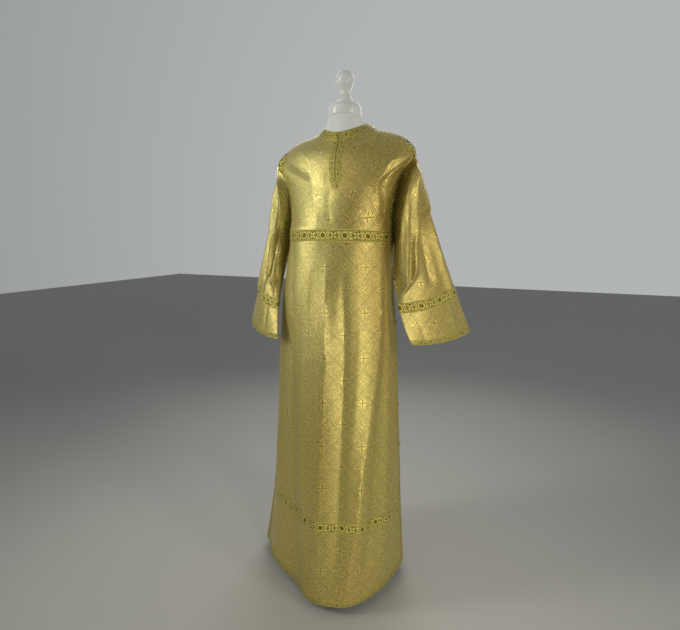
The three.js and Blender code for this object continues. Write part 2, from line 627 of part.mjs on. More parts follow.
// ---------------------------------------------------------------- sleeves
// The armhole as a closed loop that starts at the ridge's end. Seen from outside it runs down
// the front edge first on the right side, and down the back edge first on the left.
function armholeLoop(side) {
  const edge = (panel, east) => {
    const col = east ? panel.cols - 1 : 0;
    return countTo(LINE.ridgeEnd, LINE.underarm).map((i) => ({
      point: panel.grid[i][col], move: panel.vectors[i][col],
    }));
  };
  const frontEdge = edge(front, side > 0);
  const backEdge = edge(back, side < 0);
  const place = (line, share) => {
    const at = share * (line.length - 1);
    const k = Math.min(line.length - 2, Math.floor(at));
    return {
      point: mixVec(line[k].point, line[k + 1].point, at - k),
      move: mixVec(line[k].move, line[k + 1].move, at - k),
    };
  };
  const frontHalf = countTo(0, SLEEVE_FRONT_STEPS).map((i) => (
    { across: i / SLEEVE_FRONT_STEPS, ...place(frontEdge, i / SLEEVE_FRONT_STEPS) }
  ));
  const backHalf = countTo(1, SLEEVE_BACK_STEPS - 1).map((i) => (
    { across: 1 + i / SLEEVE_BACK_STEPS, ...place(backEdge, 1 - i / SLEEVE_BACK_STEPS) }
  ));
  const loop = [...frontHalf, ...backHalf];
  return side > 0 ? [loop[0], ...loop.slice(1).reverse()] : loop;
}

// Where the sleeve starts: beyond the edge of the cloth at the shoulder, off its face below.
function sleeveStarts(loop) {
  return loop.map((place, k) => {
    const before = loop[(k + loop.length - 1) % loop.length].point;
    const after = loop[(k + 1) % loop.length].point;
    const beyond = after.clone().sub(before).cross(place.move).normalize();
    const height = Math.abs(place.across - 1); // 1 at the shoulder, 0 under the arm
    const on = START_EDGE + START_ON * smooth((height - SHOULDER_FROM) / SHOULDER_OVER);
    return place.point.clone().addScaledVector(beyond, on).addScaledVector(place.move, START_OFF);
  });
}

// One lengthwise line of the sleeve from armhole to cuff.
function sleeveLine(sleeve, start, across) {
  const outer = vec(...sleeve.outer);
  const inner = vec(...sleeve.inner);
  const share = across <= 1 ? across : 2 - across;
  const face = across <= 1 ? 1 : -1; // 1 on the front face
  const swell = Math.sin(Math.PI * share) ** ROUNDNESS;
  const chord = outer.clone().sub(inner);
  const out = vec(chord.y, -chord.x, 0).normalize().multiplyScalar(sleeve.side * face);
  const cuff = mixVec(outer, inner, share).addScaledVector(out, sleeve.bulge * swell);
  cuff.z -= CUFF_SAG * swell * (face > 0 ? 1 : CUFF_SAG_BACK);
  const [leaveX, leaveY, leaveZ] = sleeve.leaveSide;
  const middle = vec(leaveX, face * leaveY, leaveZ);
  const leave = share < 0.5
    ? mixVec(vec(...sleeve.leaveTop), middle, smooth(2 * share))
    : mixVec(middle, vec(...sleeve.leaveUnder), smooth(2 * share - 1));
  const arrive = mixVec(vec(...sleeve.arriveOuter), vec(...sleeve.arriveInner), share);
  const first = start.clone().add(vec(sleeve.side * leave.x, -leave.y, -leave.z));
  const last = cuff.clone().sub(vec(sleeve.side * arrive.x, -arrive.y, -arrive.z));
  return bezierLine(start, first, last, cuff, 32);
}

// How far a point at a distance from the armhole stands out beside the groove.
function besideGroove(sleeve, across, distance) {
  const face = across <= 1 ? 1 : -1;
  const share = across <= 1 ? across : 2 - across;
  const ends = smooth(share / GROOVE_ENDS) * smooth((1 - share) / GROOVE_ENDS);
  const run = smooth(distance / GROOVE_RUN) * (1 - smooth((distance - GROOVE_RUN) / GROOVE_FADE));
  const size = ends * run * (face > 0 ? 1 : GROOVE_BACK);
  const [outwards, forwards] = sleeve.ridge;
  return vec(sleeve.side * outwards, -face * forwards, 0).multiplyScalar(size);
}

function sleeveGrid(name, sleeve) {
  const loop = armholeLoop(sleeve.side);
  const starts = sleeveStarts(loop);
  const columns = loop.map((place, k) => {
    const line = sleeveLine(sleeve, starts[k], place.across);
    const length = lineLength(line);
    const inward = 1 - Math.abs(1 - place.across); // 0 at the outer crease, 1 at the inner one
    const bandLow = length - mix(sleeve.bandOuter, sleeve.bandInner, inward);
    const bandTop = bandLow - GALLOON_WIDTH;
    const trimTop = length - CUFF_TRIM;
    const distances = [
      0,
      ...countTo(0, SLEEVE_LENGTH_STEPS - 1).map((i) => (
        mix(GROOVE_RUN, bandTop, i / (SLEEVE_LENGTH_STEPS - 1)))),
      bandLow, (bandLow + trimTop) / 2, trimTop, length,
    ];
    return distances.map((d) => ({
      point: alongLine(line, d).add(besideGroove(sleeve, place.across, d)), run: d / length,
    }));
  });
  const rows = countTo(0, columns[0].length - 1).map((i) => columns.map((c) => c[i].point));
  const plain = gridNormals(rows, { wrap: true });
  const folds = [...SLEEVE_FOLDS[name], { ...CAP_PUFF, rise: sleeve.puff }];
  return rows.map((row, i) => row.map((p, j) => {
    const out = plain[i][j].reduce((sum, n) => sum.add(n), vec(0, 0, 0)).normalize();
    const run = columns[j][i].run;
    const down = (fold) => (run - fold.from) / (fold.to - fold.from);
    const rise = foldRise(folds, loop[j].across, down);
    return p.clone().addScaledVector(out, rise);
  }));
}

for (const [name, sleeve] of Object.entries(SLEEVES)) {
  const grid = sleeveGrid(name, sleeve);
  const vectors = gridNormals(grid, { wrap: true }).map((row) => row.map(cornerVector));
  add(`sleeve_${name}`, sheetGeometry(grid, moveGrid(grid, vectors, -CLOTH), { wrap: true }), 'brocade');
  const ring = (from, to) => [grid.slice(from, to + 1), vectors.slice(from, to + 1), { wrap: true }];
  addTrim(`sleeve_band_${name}`, ...ring(SLEEVE_LENGTH_STEPS, SLEEVE_LENGTH_STEPS + 1));
  addTrim(`cuff_trim_${name}`, ...ring(SLEEVE_LENGTH_STEPS + 3, SLEEVE_LENGTH_STEPS + 4));
}

// ---------------------------------------------------------------- buttons
// A button sits on the trim of the front panel between two of the panel's corners.
function addButton(name, [from, to], place) {
  const seat = mixVec(from.point, to.point, place);
  const stand = PROUD + GALLOON + PROUD + BUTTON_RADIUS;
  const centre = seat.addScaledVector(mixVec(from.move, to.move, place), stand);
  add(name, new THREE.SphereGeometry(BUTTON_RADIUS, 8, 5), 'button').position.copy(centre);
}

// The side point of the front panel at a height, between two of its rows.
function atHeight(col, z) {
  const i = front.grid.findIndex((row) => row[col].z < z);
  const [high, low] = [front.grid[i - 1][col], front.grid[i][col]];
  const t = (high.z - z) / (high.z - low.z);
  return {
    point: mixVec(high, low, t),
    move: mixVec(front.vectors[i - 1][col], front.vectors[i][col], t),
  };
}

SIDE_BUTTON_HEIGHTS.forEach((z, k) => {
  const last = front.cols - 1;
  addButton(`side_button_right_${k + 1}`, [atHeight(0, z), atHeight(EDGING_COL, z)], BUTTON_PLACE);
  addButton(`side_button_left_${k + 1}`, [atHeight(last, z), atHeight(last - EDGING_COL, z)], BUTTON_PLACE);
});
const collarMiddle = [SLIT, SLIT - 1].map((col) => ({
  point: mixVec(front.grid[0][col], front.grid[1][col], 0.5),
  move: mixVec(front.vectors[0][col], front.vectors[1][col], 0.5),
}));
addButton('neck_button', collarMiddle, BUTTON_PLACE);

// ---------------------------------------------------------------- dress form
// The shoulders and chest follow the robe's own rows, a little inside the cloth.
function robeRing(knot, air) {
  const sides = ['front', 'back'].map((face) => {
    const line = [...halfRow(knot, 'west', face), ...halfRow(knot, 'east', face).reverse().slice(1)];
    const steps = face === 'front' ? FORM_FRONT_STEPS : FORM_BACK_STEPS;
    const length = lineLength(line);
    return countTo(0, steps).map((i) => alongLine(line, (length * i) / steps));
  });
  const [frontLine, backLine] = sides;
  const ring = [...frontLine, ...backLine.reverse().slice(1, -1)];
  return { ring, air };
}

function ovalRing({ z, wide, front: frontY, back: backY }) {
  const half = (steps, y) => countTo(0, steps).map((i) => {
    const angle = (Math.PI * i) / steps;
    return vec(-wide * Math.cos(angle), y * Math.sin(angle), z);
  });
  return [...half(FORM_FRONT_STEPS, frontY), ...half(FORM_BACK_STEPS, backY).reverse().slice(1, -1)];
}

function addForm() {
  const robeLines = ['neckline', 'collarEdge', 'yoke', 'shoulderTip', 'ridgeEnd', 'armholeHigh',
    'armholeMid', 'armholeLow', 'underarm'];
  const [tip, chest] = [knotOf('shoulderTip'), knotOf('armholeMid')];
  const rings = robeLines.map((name) => {
    const down = smooth((knotOf(name) - tip) / (chest - tip));
    return robeRing(knotOf(name), CLOTH + mix(FORM_AIR_TOP, FORM_AIR_CHEST, down));
  });
  const normals = gridNormals(rings.map(({ ring }) => ring), { wrap: true });
  const moved = rings.map(({ ring, air }, i) => ring.map((p, j) => (
    p.clone().addScaledVector(cornerVector(normals[i][j]), -air)
  )));
  add('form_torso', stackGeometry([
    ...NECK_RINGS.map(ovalRing), ...moved, ...TRUNK_RINGS.map(ovalRing),
  ]), 'jersey');
  const lathe = (profile, sides) => {
    const geometry = new THREE.LatheGeometry(profile.map(([r, z]) => new THREE.Vector2(r, z)), sides);
    return geometry.rotateX(Math.PI / 2);
  };
  add('form_cap', lathe(CAP_PROFILE, 28), 'paintedWood');
  add('form_knob', lathe(KNOB_PROFILE, 20), 'paintedWood');
  const poleTop = TRUNK_RINGS[TRUNK_RINGS.length - 1].z - SEAM;
  const poleFoot = BASE_HEIGHT + SEAM;
  const pole = new THREE.CylinderGeometry(POLE_RADIUS, POLE_RADIUS, poleTop - poleFoot, 16);
  add('form_pole', pole.rotateX(Math.PI / 2), 'paintedSteel').position.z = (poleTop + poleFoot) / 2;
  const rim = BASE_HEIGHT / 2;
  add('form_base', lathe([
    [0, 0], [BASE_RADIUS, 0], [BASE_RADIUS, rim], [BASE_RADIUS - rim, BASE_HEIGHT], [0, BASE_HEIGHT],
  ], 32), 'paintedSteel');
}
addForm();

// The origin is on the floor under the middle of the whole.
const part = new THREE.Group();
part.add(robeOnForm);
const extent = new THREE.Box3().setFromObject(part, true);
const middleOfAll = extent.getCenter(vec(0, 0, 0));
robeOnForm.position.set(-middleOfAll.x, -middleOfAll.y, -extent.min.z);

export default part;
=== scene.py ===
# A long brocade sticharion on a dress form. Shapes are in millimetres: X to the wearer's left,
# Y to the back, Z up, with the origin on the floor under the form's pole.

from math import cos, pi, radians, sin

import bpy
import numpy as np
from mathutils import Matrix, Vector


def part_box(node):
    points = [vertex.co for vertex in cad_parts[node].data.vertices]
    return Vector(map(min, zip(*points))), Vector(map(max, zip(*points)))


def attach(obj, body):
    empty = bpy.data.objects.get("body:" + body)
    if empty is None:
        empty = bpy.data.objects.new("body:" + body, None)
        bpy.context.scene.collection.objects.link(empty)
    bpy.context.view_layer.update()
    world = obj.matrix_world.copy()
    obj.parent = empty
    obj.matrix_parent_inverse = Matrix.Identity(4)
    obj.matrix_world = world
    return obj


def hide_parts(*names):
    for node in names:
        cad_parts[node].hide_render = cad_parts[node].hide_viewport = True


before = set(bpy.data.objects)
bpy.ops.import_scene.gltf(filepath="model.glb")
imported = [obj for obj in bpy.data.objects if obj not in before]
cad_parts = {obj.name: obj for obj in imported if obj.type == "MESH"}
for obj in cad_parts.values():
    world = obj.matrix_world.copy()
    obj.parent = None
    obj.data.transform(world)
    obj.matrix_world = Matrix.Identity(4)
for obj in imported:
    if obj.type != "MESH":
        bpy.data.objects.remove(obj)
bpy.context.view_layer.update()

MM = 0.001
pole_low, pole_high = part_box("form_pole")
ORIGIN = np.array([(pole_low[0] + pole_high[0]) / 2, (pole_low[1] + pole_high[1]) / 2, 0])

# ---------------------------------------------------------------- sizes, in millimetres
CLOTH = 1.9
GALLOON = 1.0
EDGE_SHARE = 0.55  # thickness of a ribbon at its edges
PROUD = 0.3
SEAM = 0.3
GALLOON_WIDTH = 34
EDGING_WIDTH = 17
SEAM_MARGIN = 3
STRIP_WIDTH = 19
SLIT_TOP = 2.0
SLIT_BOTTOM = 1.2
PLACKET_POINT = 0.3  # share of the width left at the tip
POINT_LENGTH = 0.8  # in rows of the solid
POINT_ROUNDNESS = 0.8
FULLNESS = 0.58
SIDE_CLIMB = 0.3
SKIRT_LEAN = {"back_east": 0.16, "back_west": 0.04, "front_east": -0.01}
LEAN_SLACK = 1.6  # how much of its lean a row gives back towards the middle
ROW_DENSITY = 9  # rows of the visual mesh for each row of the solid
BETWEEN = 30  # columns between an edge and the placket
STRIP_STEPS = 3  # columns in each strip of the placket
HALF_ROW_STEPS = 120
SHARP_ANGLE = 50

# name, west point, front point, east point, back point, gap, lean, steps
ROWS = [
    ("neckline", (-66, 17, 1489), (10, -64, 1456), (69, 31, 1490), (-2, 80, 1494), 0, 0, 1),
    ("collarEdge", (-83, 12, 1472), (11, -72, 1432), (88, 25, 1475), (-2, 95, 1474), 0, 0, 2),
    ("yoke", (-146, 2, 1449), (14, -98, 1388), (138, 15, 1458), (-4, 118, 1430), 0, 0, 2),
    ("shoulderTip", (-196, -11, 1417), (19, -114, 1336), (187, 5, 1435), (-3, 124, 1385), 0, 0.1, 2),
    ("ridgeEnd", (-226, -15, 1378), (22, -124, 1291), (214, 16, 1399), (-2, 124, 1340), 0, 0.24, 2),
    ("armholeHigh", (-196, -24, 1335), (18, -131, 1262), (186, -8, 1352), (-1, 122, 1300), 44, 0.2, 2),
    ("armholeMid", (-178, -24, 1268), (14, -137, 1228), (167, -14, 1276), (0, 118, 1245), 54, 0.12, 2),
    ("armholeLow", (-172, -18, 1208), (9, -142, 1200), (158, -10, 1210), (0, 114, 1204), 44, 0.06, 1),
    ("chestTop", (-173, -8, 1172), (8, -145, 1179), (158, -5, 1172), (0, 112, 1172), 26, 0, 1),
    ("underarm", (-177, 2, 1138), (8, -147, 1145), (160, 0, 1138), (0, 113, 1138), 0, 0, 2),
    ("waist", (-205, 10, 1000), (9, -156, 1000), (162, 8, 1000), (-2, 124, 1000), 0, 0, 2),
    ("hip", (-221, 14, 850), (10, -166, 850), (167, 22, 850), (-6, 144, 850), 0, 0.02, 2),
    ("thigh", (-243, 12, 650), (11, -180, 650), (172, 36, 650), (-10, 172, 650), 0, 0.06, 2),
    ("knee", (-261, 6, 450), (12, -192, 450), (178, 49, 450), (-16, 202, 450), 0, 0.1, 2),
    ("hemBandTop", (-276, -3, 264), (14, -203, 303), (182, 64, 262), (-22, 226, 255), 0, 0.16, 1),
    ("hemBandBottom", (-282, -2, 230), (14, -205, 269), (183, 68, 228), (-24, 230, 221), 0, 0.17, 2),
    ("hemTrimTop", (-319, 4, 47), (15, -219, 47), (188, 84, 47), (-30, 248, 47), 0, 0.2, 1),
    ("hem", (-324, 5, 30), (15, -220, 30), (189, 86, 30), (-30, 250, 30), 0, 0.2, 0),
]

# place at the top, place at the bottom, high, low, half width, rise
FRONT_FOLDS = [
    (0.10, -0.06, 1160, 0, 0.11, 7),
    (0.31, 0.12, 1150, -60, 0.11, -8),
    (0.74, 0.17, 1190, -60, 0.12, 10),
    (0.84, 0.38, 1000, 60, 0.09, -6),
    (0.88, 0.60, 1040, 40, 0.08, 4),
    (-0.42, -0.30, 900, -120, 0.15, -12),
    (-0.70, -0.70, 640, -120, 0.13, 7),
]
BACK_FOLDS = [
    (-0.30, -0.50, 1130, -60, 0.14, 12),
    (-0.02, -0.20, 1120, -80, 0.13, -11),
    (0.14, 0.10, 1200, -80, 0.13, 11),
    (0.40, 0.38, 1080, -60, 0.13, -10),
    (0.60, 0.64, 1000, -60, 0.12, 8),
]
# Finer creases, that only the visual model has: rise, half width, and (height, place) down each.
FRONT_CREASES = [
    (3.2, 0.045, ((1392, 0.76), (1351, 0.55), (1320, 0.48), (1290, 0.54), (1250, 0.65), (1195, 0.67))),
    (-2.8, 0.05, ((1380, 0.88), (1335, 0.64), (1300, 0.62), (1250, 0.76), (1190, 0.78))),
    (-1.6, 0.06, ((1350, -0.09), (1300, -0.07), (1250, -0.04), (1180, 0.08))),
    (1.4, 0.06, ((1449, -0.84), (1377, -0.36), (1262, -0.26), (1203, -0.14), (1100, -0.04))),
    (-1.7, 0.06, ((1290, -0.86), (1180, -0.58), (1087, -0.44), (900, -0.38))),
    (
        4.0,
        0.03,
        ((1132, 0.71), (975, 0.68), (883, 0.65), (738, 0.58), (472, 0.40), (182, 0.26), (20, 0.20)),
    ),
    (-2.8, 0.03, ((1110, 0.80), (940, 0.77), (760, 0.70), (500, 0.55), (200, 0.42), (30, 0.36))),
    (3.8, 0.03, ((1120, 0.06), (974, 0.10), (827, 0.09), (683, 0.05), (368, -0.01), (30, -0.05))),
    (-3.4, 0.035, ((1096, 0.27), (891, 0.28), (683, 0.25), (505, 0.22), (343, 0.17), (90, 0.13))),
    (1.6, 0.03, ((1100, 0.45), (900, 0.44), (700, 0.38), (480, 0.29), (250, 0.20))),
    (-2.6, 0.045, ((900, -0.38), (650, -0.38), (383, -0.36), (181, -0.33), (30, -0.26))),
    (1.8, 0.03, ((1090, -0.16), (850, -0.18), (600, -0.22), (350, -0.22), (120, -0.16))),
    (-1.2, 0.03, ((1080, -0.07), (800, -0.08), (500, -0.12), (250, -0.13))),
    (2.0, 0.03, ((1000, 0.84), (783, 0.79), (595, 0.74), (396, 0.67), (197, 0.61), (60, 0.57))),
    (-1.4, 0.04, ((1060, -0.62), (700, -0.60), (400, -0.55), (120, -0.50))),
    (1.3, 0.04, ((1050, -0.78), (700, -0.80), (350, -0.84))),
]
BACK_CREASES = [
    (3.0, 0.05, ((1390, -0.76), (1330, -0.62), (1250, -0.58), (1180, -0.48))),
    (3.0, 0.05, ((1390, 0.72), (1330, 0.56), (1250, 0.54), (1190, 0.44))),
    (2.2, 0.04, ((1130, -0.44), (850, -0.52), (450, -0.58), (60, -0.66))),
    (-2.2, 0.04, ((1130, -0.16), (850, -0.24), (450, -0.28), (80, -0.36))),
    (2.2, 0.04, ((1180, 0.07), (850, 0.05), (450, -0.01), (80, -0.04))),
    (-2.2, 0.04, ((1150, 0.28), (850, 0.26), (450, 0.26), (60, 0.22))),
    (2.2, 0.04, ((1120, 0.49), (850, 0.52), (450, 0.50), (60, 0.53))),
    (-1.8, 0.04, ((1050, 0.75), (700, 0.78), (100, 0.80))),
    (-1.5, 0.05, ((1050, -0.74), (700, -0.78), (100, -0.84))),
]
CREASE_ENDS = 0.14
CREASE_TIP = 0.05  # rounding of a crease's edge
CREASE_SLOPE = 1.4
CREASE_DEPTH = 1.5
FADE_IN = 0.35
FADE_OUT = 0.12
LOOSE = (0.9, 2.4)  # height of the shallow unevenness on the chest and on the skirt
LOOSE_SEED = {"front": 1, "back": 4}
CALM_EDGE = 0.14  # the unevenness is calm beside the seams and above the yoke
CALM_ABOVE = 60
CALM_RUN = 260

SLEEVES = {
    "left": dict(
        side=1, outer=(374, 144, 859), inner=(237, -46, 842), bulge=20,
        leave_top=(20, -4, 100), leave_side=(54, 62, 80), leave_under=(14, 40, 110),
        arrive_outer=(74, -56, 210), arrive_inner=(50, -20, 110), band_outer=130, band_inner=100,
        ridge=(36, 50), puff=8,
    ),
    "right": dict(
        side=-1, outer=(-355, 0, 870), inner=(-162, -150, 846), bulge=22,
        leave_top=(4, 4, 110), leave_side=(36, 60, 90), leave_under=(34, 62, 70),
        arrive_outer=(64, -8, 210), arrive_inner=(-20, 40, 110), band_outer=106, band_inner=92,
        ridge=(8, 16), puff=0,
    ),
}
SLEEVE_FRONT = 78
SLEEVE_BACK = 54
SLEEVE_LENGTH = 100  # rows from the armhole to the ribbon, then in the ribbon, the cuff and its edging
BAND_ROWS = 6
CUFF_ROWS = 16
TRIM_ROWS = 4
SLEEVE_STEPS = 80
START_ON = 2.6  # gap to the armhole's edge beside the shoulder, and the least of it elsewhere
START_LEAST = 0.15
START_FROM = 0.55
START_RUN = 0.35
START_OFF = 0.45
CUFF_SAG = 8
CUFF_SAG_BACK = 0.4
ROUNDNESS = 0.75
GROOVE_RUN = 30  # from the armhole to the ridge beside the groove
GROOVE_FADE = 190
GROOVE_ENDS = 0.2
GROOVE_BACK = 0.5
GROOVE_SINK = 0.22  # how far the groove's floor sinks in, as a share of the ridge
GROOVE_ROWS = 10
# place at the top, place at the bottom, from, to, half width, rise
SLEEVE_FOLDS = {
    "left": [
        (0.14, 0.66, 0.02, 0.54, 0.07, 8),
        (0.54, 0.80, 0.06, 0.56, 0.07, 8),
        (0.36, 0.73, 0.06, 0.52, 0.06, -7),
        (0.10, 0.10, 0.04, 0.85, 0.06, 7),
        (0.22, 0.38, 0.06, 0.66, 0.08, -9),
        (1.50, 1.50, 0.06, 0.80, 0.16, -10),
    ],
    "right": [
        (0.50, 0.56, 0.02, 0.60, 0.07, 8),
        (0.84, 0.74, 0.10, 0.60, 0.07, 8),
        (0.68, 0.66, 0.10, 0.56, 0.06, -7),
        (0.20, 0.14, 0.02, 0.80, 0.07, 9),
        (0.34, 0.36, 0.04, 0.70, 0.08, -9),
        (1.50, 1.50, 0.06, 0.80, 0.16, -10),
    ],
}
CAP_PUFF = (0, 0, 0, 0.3, 0.16)
# rise, half width, and (share of the length, place) down each crease
SLEEVE_CREASES = {
    "left": [
        (2.8, 0.045, ((0.02, 0.12), (0.15, 0.26), (0.23, 0.32), (0.34, 0.53), (0.48, 0.62), (0.55, 0.74))),
        (2.8, 0.045, ((0.04, 0.40), (0.13, 0.49), (0.18, 0.62), (0.25, 0.72), (0.41, 0.78), (0.55, 0.76))),
        (-2.6, 0.05, ((0.08, 0.21), (0.18, 0.23), (0.30, 0.24), (0.41, 0.27), (0.62, 0.38))),
        (2.4, 0.04, ((0.04, 0.12), (0.19, 0.16), (0.27, 0.10), (0.40, 0.06), (0.59, 0.12), (0.78, 0.10))),
        (1.6, 0.06, ((0.70, 0.21), (0.81, 0.23), (0.92, 0.26), (1.05, 0.28))),
        (-1.8, 0.06, ((0.60, 0.88), (0.71, 0.82), (0.84, 0.78), (1.04, 0.81))),
        (2.0, 0.05, ((0.10, 1.30), (0.40, 1.38), (0.80, 1.34))),
        (-2.0, 0.05, ((0.06, 1.66), (0.40, 1.58), (0.90, 1.62))),
    ],
    "right": [
        (2.2, 0.05, ((0.04, 0.12), (0.16, 0.20), (0.30, 0.52), (0.59, 0.60), (0.78, 0.58))),
        (-2.2, 0.05, ((0.04, 0.30), (0.10, 0.46), (0.22, 0.70), (0.44, 0.86), (0.66, 0.88))),
        (2.0, 0.045, ((0.10, 0.60), (0.20, 0.80), (0.40, 0.93))),
        (-1.8, 0.05, ((0.12, 0.14), (0.30, 0.34), (0.52, 0.42), (0.76, 0.40))),
        (1.4, 0.06, ((0.72, 0.24), (0.86, 0.26), (1.05, 0.28))),
        (-1.5, 0.06, ((0.70, 0.72), (0.86, 0.70), (1.04, 0.68))),
        (2.0, 0.05, ((0.10, 1.32), (0.40, 1.40), (0.80, 1.36))),
        (-2.0, 0.05, ((0.06, 1.68), (0.40, 1.60), (0.90, 1.62))),
    ],
}

SIDE_BUTTONS = (1030, 895, 760, 622, 485)
BUTTON = 4
BUTTON_PLACE = 0.35
LOOP_ROUND = BUTTON + 1.2
LOOP_CORD = 0.6
LOOP_LIFT = 1.2
# share of the reach, place beside the middle, lift
LOOP_ARM = [(1, 1.6, 0), (0.45, 3.4, 1.6), (0, LOOP_ROUND, 1.4)]
LOOP_STEPS = 40

# height, half width, front, back
NECK_RINGS = [(1510.2, 49, -48, 49), (1502, 51.5, -51, 53), (1494, 55, -54, 57)]
TRUNK_RINGS = [
    (1090, 142, -118, 98), (1000, 134, -108, 92), (900, 148, -112, 108), (800, 146, -108, 112),
]
FORM_AIR_TOP = 1.6
FORM_AIR_CHEST = 7
FORM_COLUMNS = 48  # across the front, and across the back
SHOULDER_RINGS = 60
NECK_STEPS = 6
TRUNK_STEPS = 8
# radius, height
CAP_PROFILE = [
    (0, 1510.5), (46.8, 1510.5), (48.2, 1511.2), (48.9, 1513), (49, 1516), (48.9, 1522), (48.6, 1528),
    (48, 1532.4), (47, 1536), (45.4, 1539.4), (43.5, 1542), (41, 1544.2), (38, 1545.6), (34, 1546.6),
    (30, 1547), (0, 1547),
]
KNOB_PROFILE = [
    (0, 1547.3), (22.6, 1547.3), (23.5, 1548), (24, 1550), (23.8, 1553.4), (22.6, 1557), (19.6, 1563),
    (16.2, 1569), (14.2, 1574), (13.5, 1578.4), (14.2, 1582), (16.4, 1586), (20, 1591.4), (23.2, 1597),
    (25.6, 1603), (26.8, 1608), (27, 1612), (26.6, 1617), (25.2, 1622.6), (22.4, 1628.6),
    (18, 1634), (12, 1638.2), (6, 1640.4), (0, 1641),
]


# ---------------------------------------------------------------- small maths
def mix(a, b, t):
    return a + (b - a) * t


def smooth(t):
    c = np.clip(t, 0, 1)
    return c * c * (3 - 2 * c)


def unit(v):
    return v / np.maximum(np.linalg.norm(v, axis=-1, keepdims=True), 1e-9)


def monotone(knots, values, x):
    """Monotone cubic through (knots, values), evaluated at x."""
    last = len(knots) - 1
    k = 0
    while k < last - 1 and x > knots[k + 1]:
        k += 1

    def slope(i):
        return (values[i + 1] - values[i]) / (knots[i + 1] - knots[i])

    def tangent(i):
        if i == 0:
            return slope(0)
        if i == last:
            return slope(last - 1)
        a, b = slope(i - 1), slope(i)
        return 0 if a * b <= 0 else 2 * a * b / (a + b)

    h = knots[k + 1] - knots[k]
    t = (x - knots[k]) / h
    return (
        (2 * t**3 - 3 * t**2 + 1) * values[k]
        + (t**3 - 2 * t**2 + t) * h * tangent(k)
        + (3 * t**2 - 2 * t**3) * values[k + 1]
        + (t**3 - t**2) * h * tangent(k + 1)
    )


def bezier(p0, p1, p2, p3, steps):
    t = np.linspace(0, 1, steps + 1)[:, None]
    s = 1 - t
    return s**3 * p0 + 3 * s * s * t * p1 + 3 * s * t * t * p2 + t**3 * p3


def relaxed(rows, times):
    """Rows drawn towards their neighbours, with both ends kept."""
    rows = rows.copy()
    for _ in range(times):
        rows[1:-1] = (rows[:-2] + 2 * rows[1:-1] + rows[2:]) / 4
    return rows


def run_of(line):
    return np.concatenate([[0], np.cumsum(np.linalg.norm(np.diff(line, axis=0), axis=1))])


def along(line, distances):
    run = run_of(line)
    return np.stack([np.interp(distances, run, line[:, k]) for k in range(3)], axis=1)


def fold_rise(folds, across, down):
    """Height of the folds; down(high, low) is how far down a fold each point lies."""
    total = np.zeros(len(across))
    for top, bottom, high, low, wide, rise in folds:
        run = down(high, low)
        away = np.abs(across - mix(top, bottom, run))
        nearest = np.minimum(away, np.abs(2 - away))  # a sleeve's 2 is its 0 again
        fade = smooth(run / FADE_IN) * smooth((1 - run) / FADE_OUT)
        total += rise * fade * np.exp(-((nearest / wide) ** 2))
    return total


def crease_rise(creases, across, down):
    """Height of the fine creases; down is the height or share that their points are given by."""
    total = np.zeros(len(across))
    for rise, wide, track in creases:
        line = np.array(sorted(track))
        place = np.interp(down, line[:, 0], line[:, 1])
        share = (down - line[0, 0]) / (line[-1, 0] - line[0, 0])
        fade = smooth(share / CREASE_ENDS) * smooth((1 - share) / CREASE_ENDS)
        away = np.abs(across - place)
        nearest = np.minimum(away, np.abs(2 - away)) / wide
        fall = np.sqrt(nearest**2 + CREASE_TIP) - np.sqrt(CREASE_TIP)
        total += CREASE_DEPTH * rise * fade * np.exp(-CREASE_SLOPE * fall)
    return total


# ---------------------------------------------------------------- rows of the robe
NAMES = [row[0] for row in ROWS]
KNOTS = [0.0]
for above, below in zip(ROWS, ROWS[1:]):
    KNOTS.append(KNOTS[-1] + float(np.linalg.norm(np.subtract(above[2], below[2]))))
KNOT = dict(zip(NAMES, KNOTS))
COLUMN = {"west": 1, "front": 2, "east": 3, "back": 4, "gap": 5, "lean": 6}


def row_point(key, knot):
    places = [row[COLUMN[key]] for row in ROWS]
    return np.array([monotone(KNOTS, values, knot) for values in zip(*places)])


def row_value(key, knot):
    return monotone(KNOTS, [row[COLUMN[key]] for row in ROWS], knot)


MESH_KNOTS = []
LINE = {}
for (name, *_, steps), knot, below in zip(ROWS, KNOTS, KNOTS[1:] + [None]):
    LINE[name] = len(MESH_KNOTS)
    count = steps * ROW_DENSITY
    MESH_KNOTS += [mix(knot, below, s / count) for s in range(count)] or [knot]


def skirt_share(knot):
    return float(smooth((knot - KNOT["armholeLow"]) / (KNOT["waist"] - KNOT["armholeLow"])))


def half_row(knot, side_key, face):
    """Half of a row, from the side point to the middle of the front or back."""
    side = row_point(side_key, knot)
    middle = row_point(face, knot)
    if face == "back":
        side[1] += row_value("gap", knot)
    skirt = skirt_share(knot)
    lean = row_value("lean", knot)
    if face == "back" or side_key == "east":
        lean = skirt * SKIRT_LEAN[face + "_" + side_key]
    across = middle - side
    climb = mix(SIDE_CLIMB, 1, skirt)
    side_handle = side + across * np.array([lean, FULLNESS - LEAN_SLACK * lean, climb])
    middle_handle = middle - np.array([across[0] * (FULLNESS - lean), 0, 0])
    return bezier(side, side_handle, middle_handle, middle, HALF_ROW_STEPS)


EDGING_MIDDLE = (SEAM_MARGIN + EDGING_WIDTH) / 2
GALLOON_MIDDLE = (EDGING_WIDTH + GALLOON_WIDTH) / 2
EDGES = [0, SEAM_MARGIN, EDGING_MIDDLE, EDGING_WIDTH, GALLOON_MIDDLE, GALLOON_WIDTH]
EDGING_COL, GALLOON_COL = EDGES.index(EDGING_WIDTH), EDGES.index(GALLOON_WIDTH)


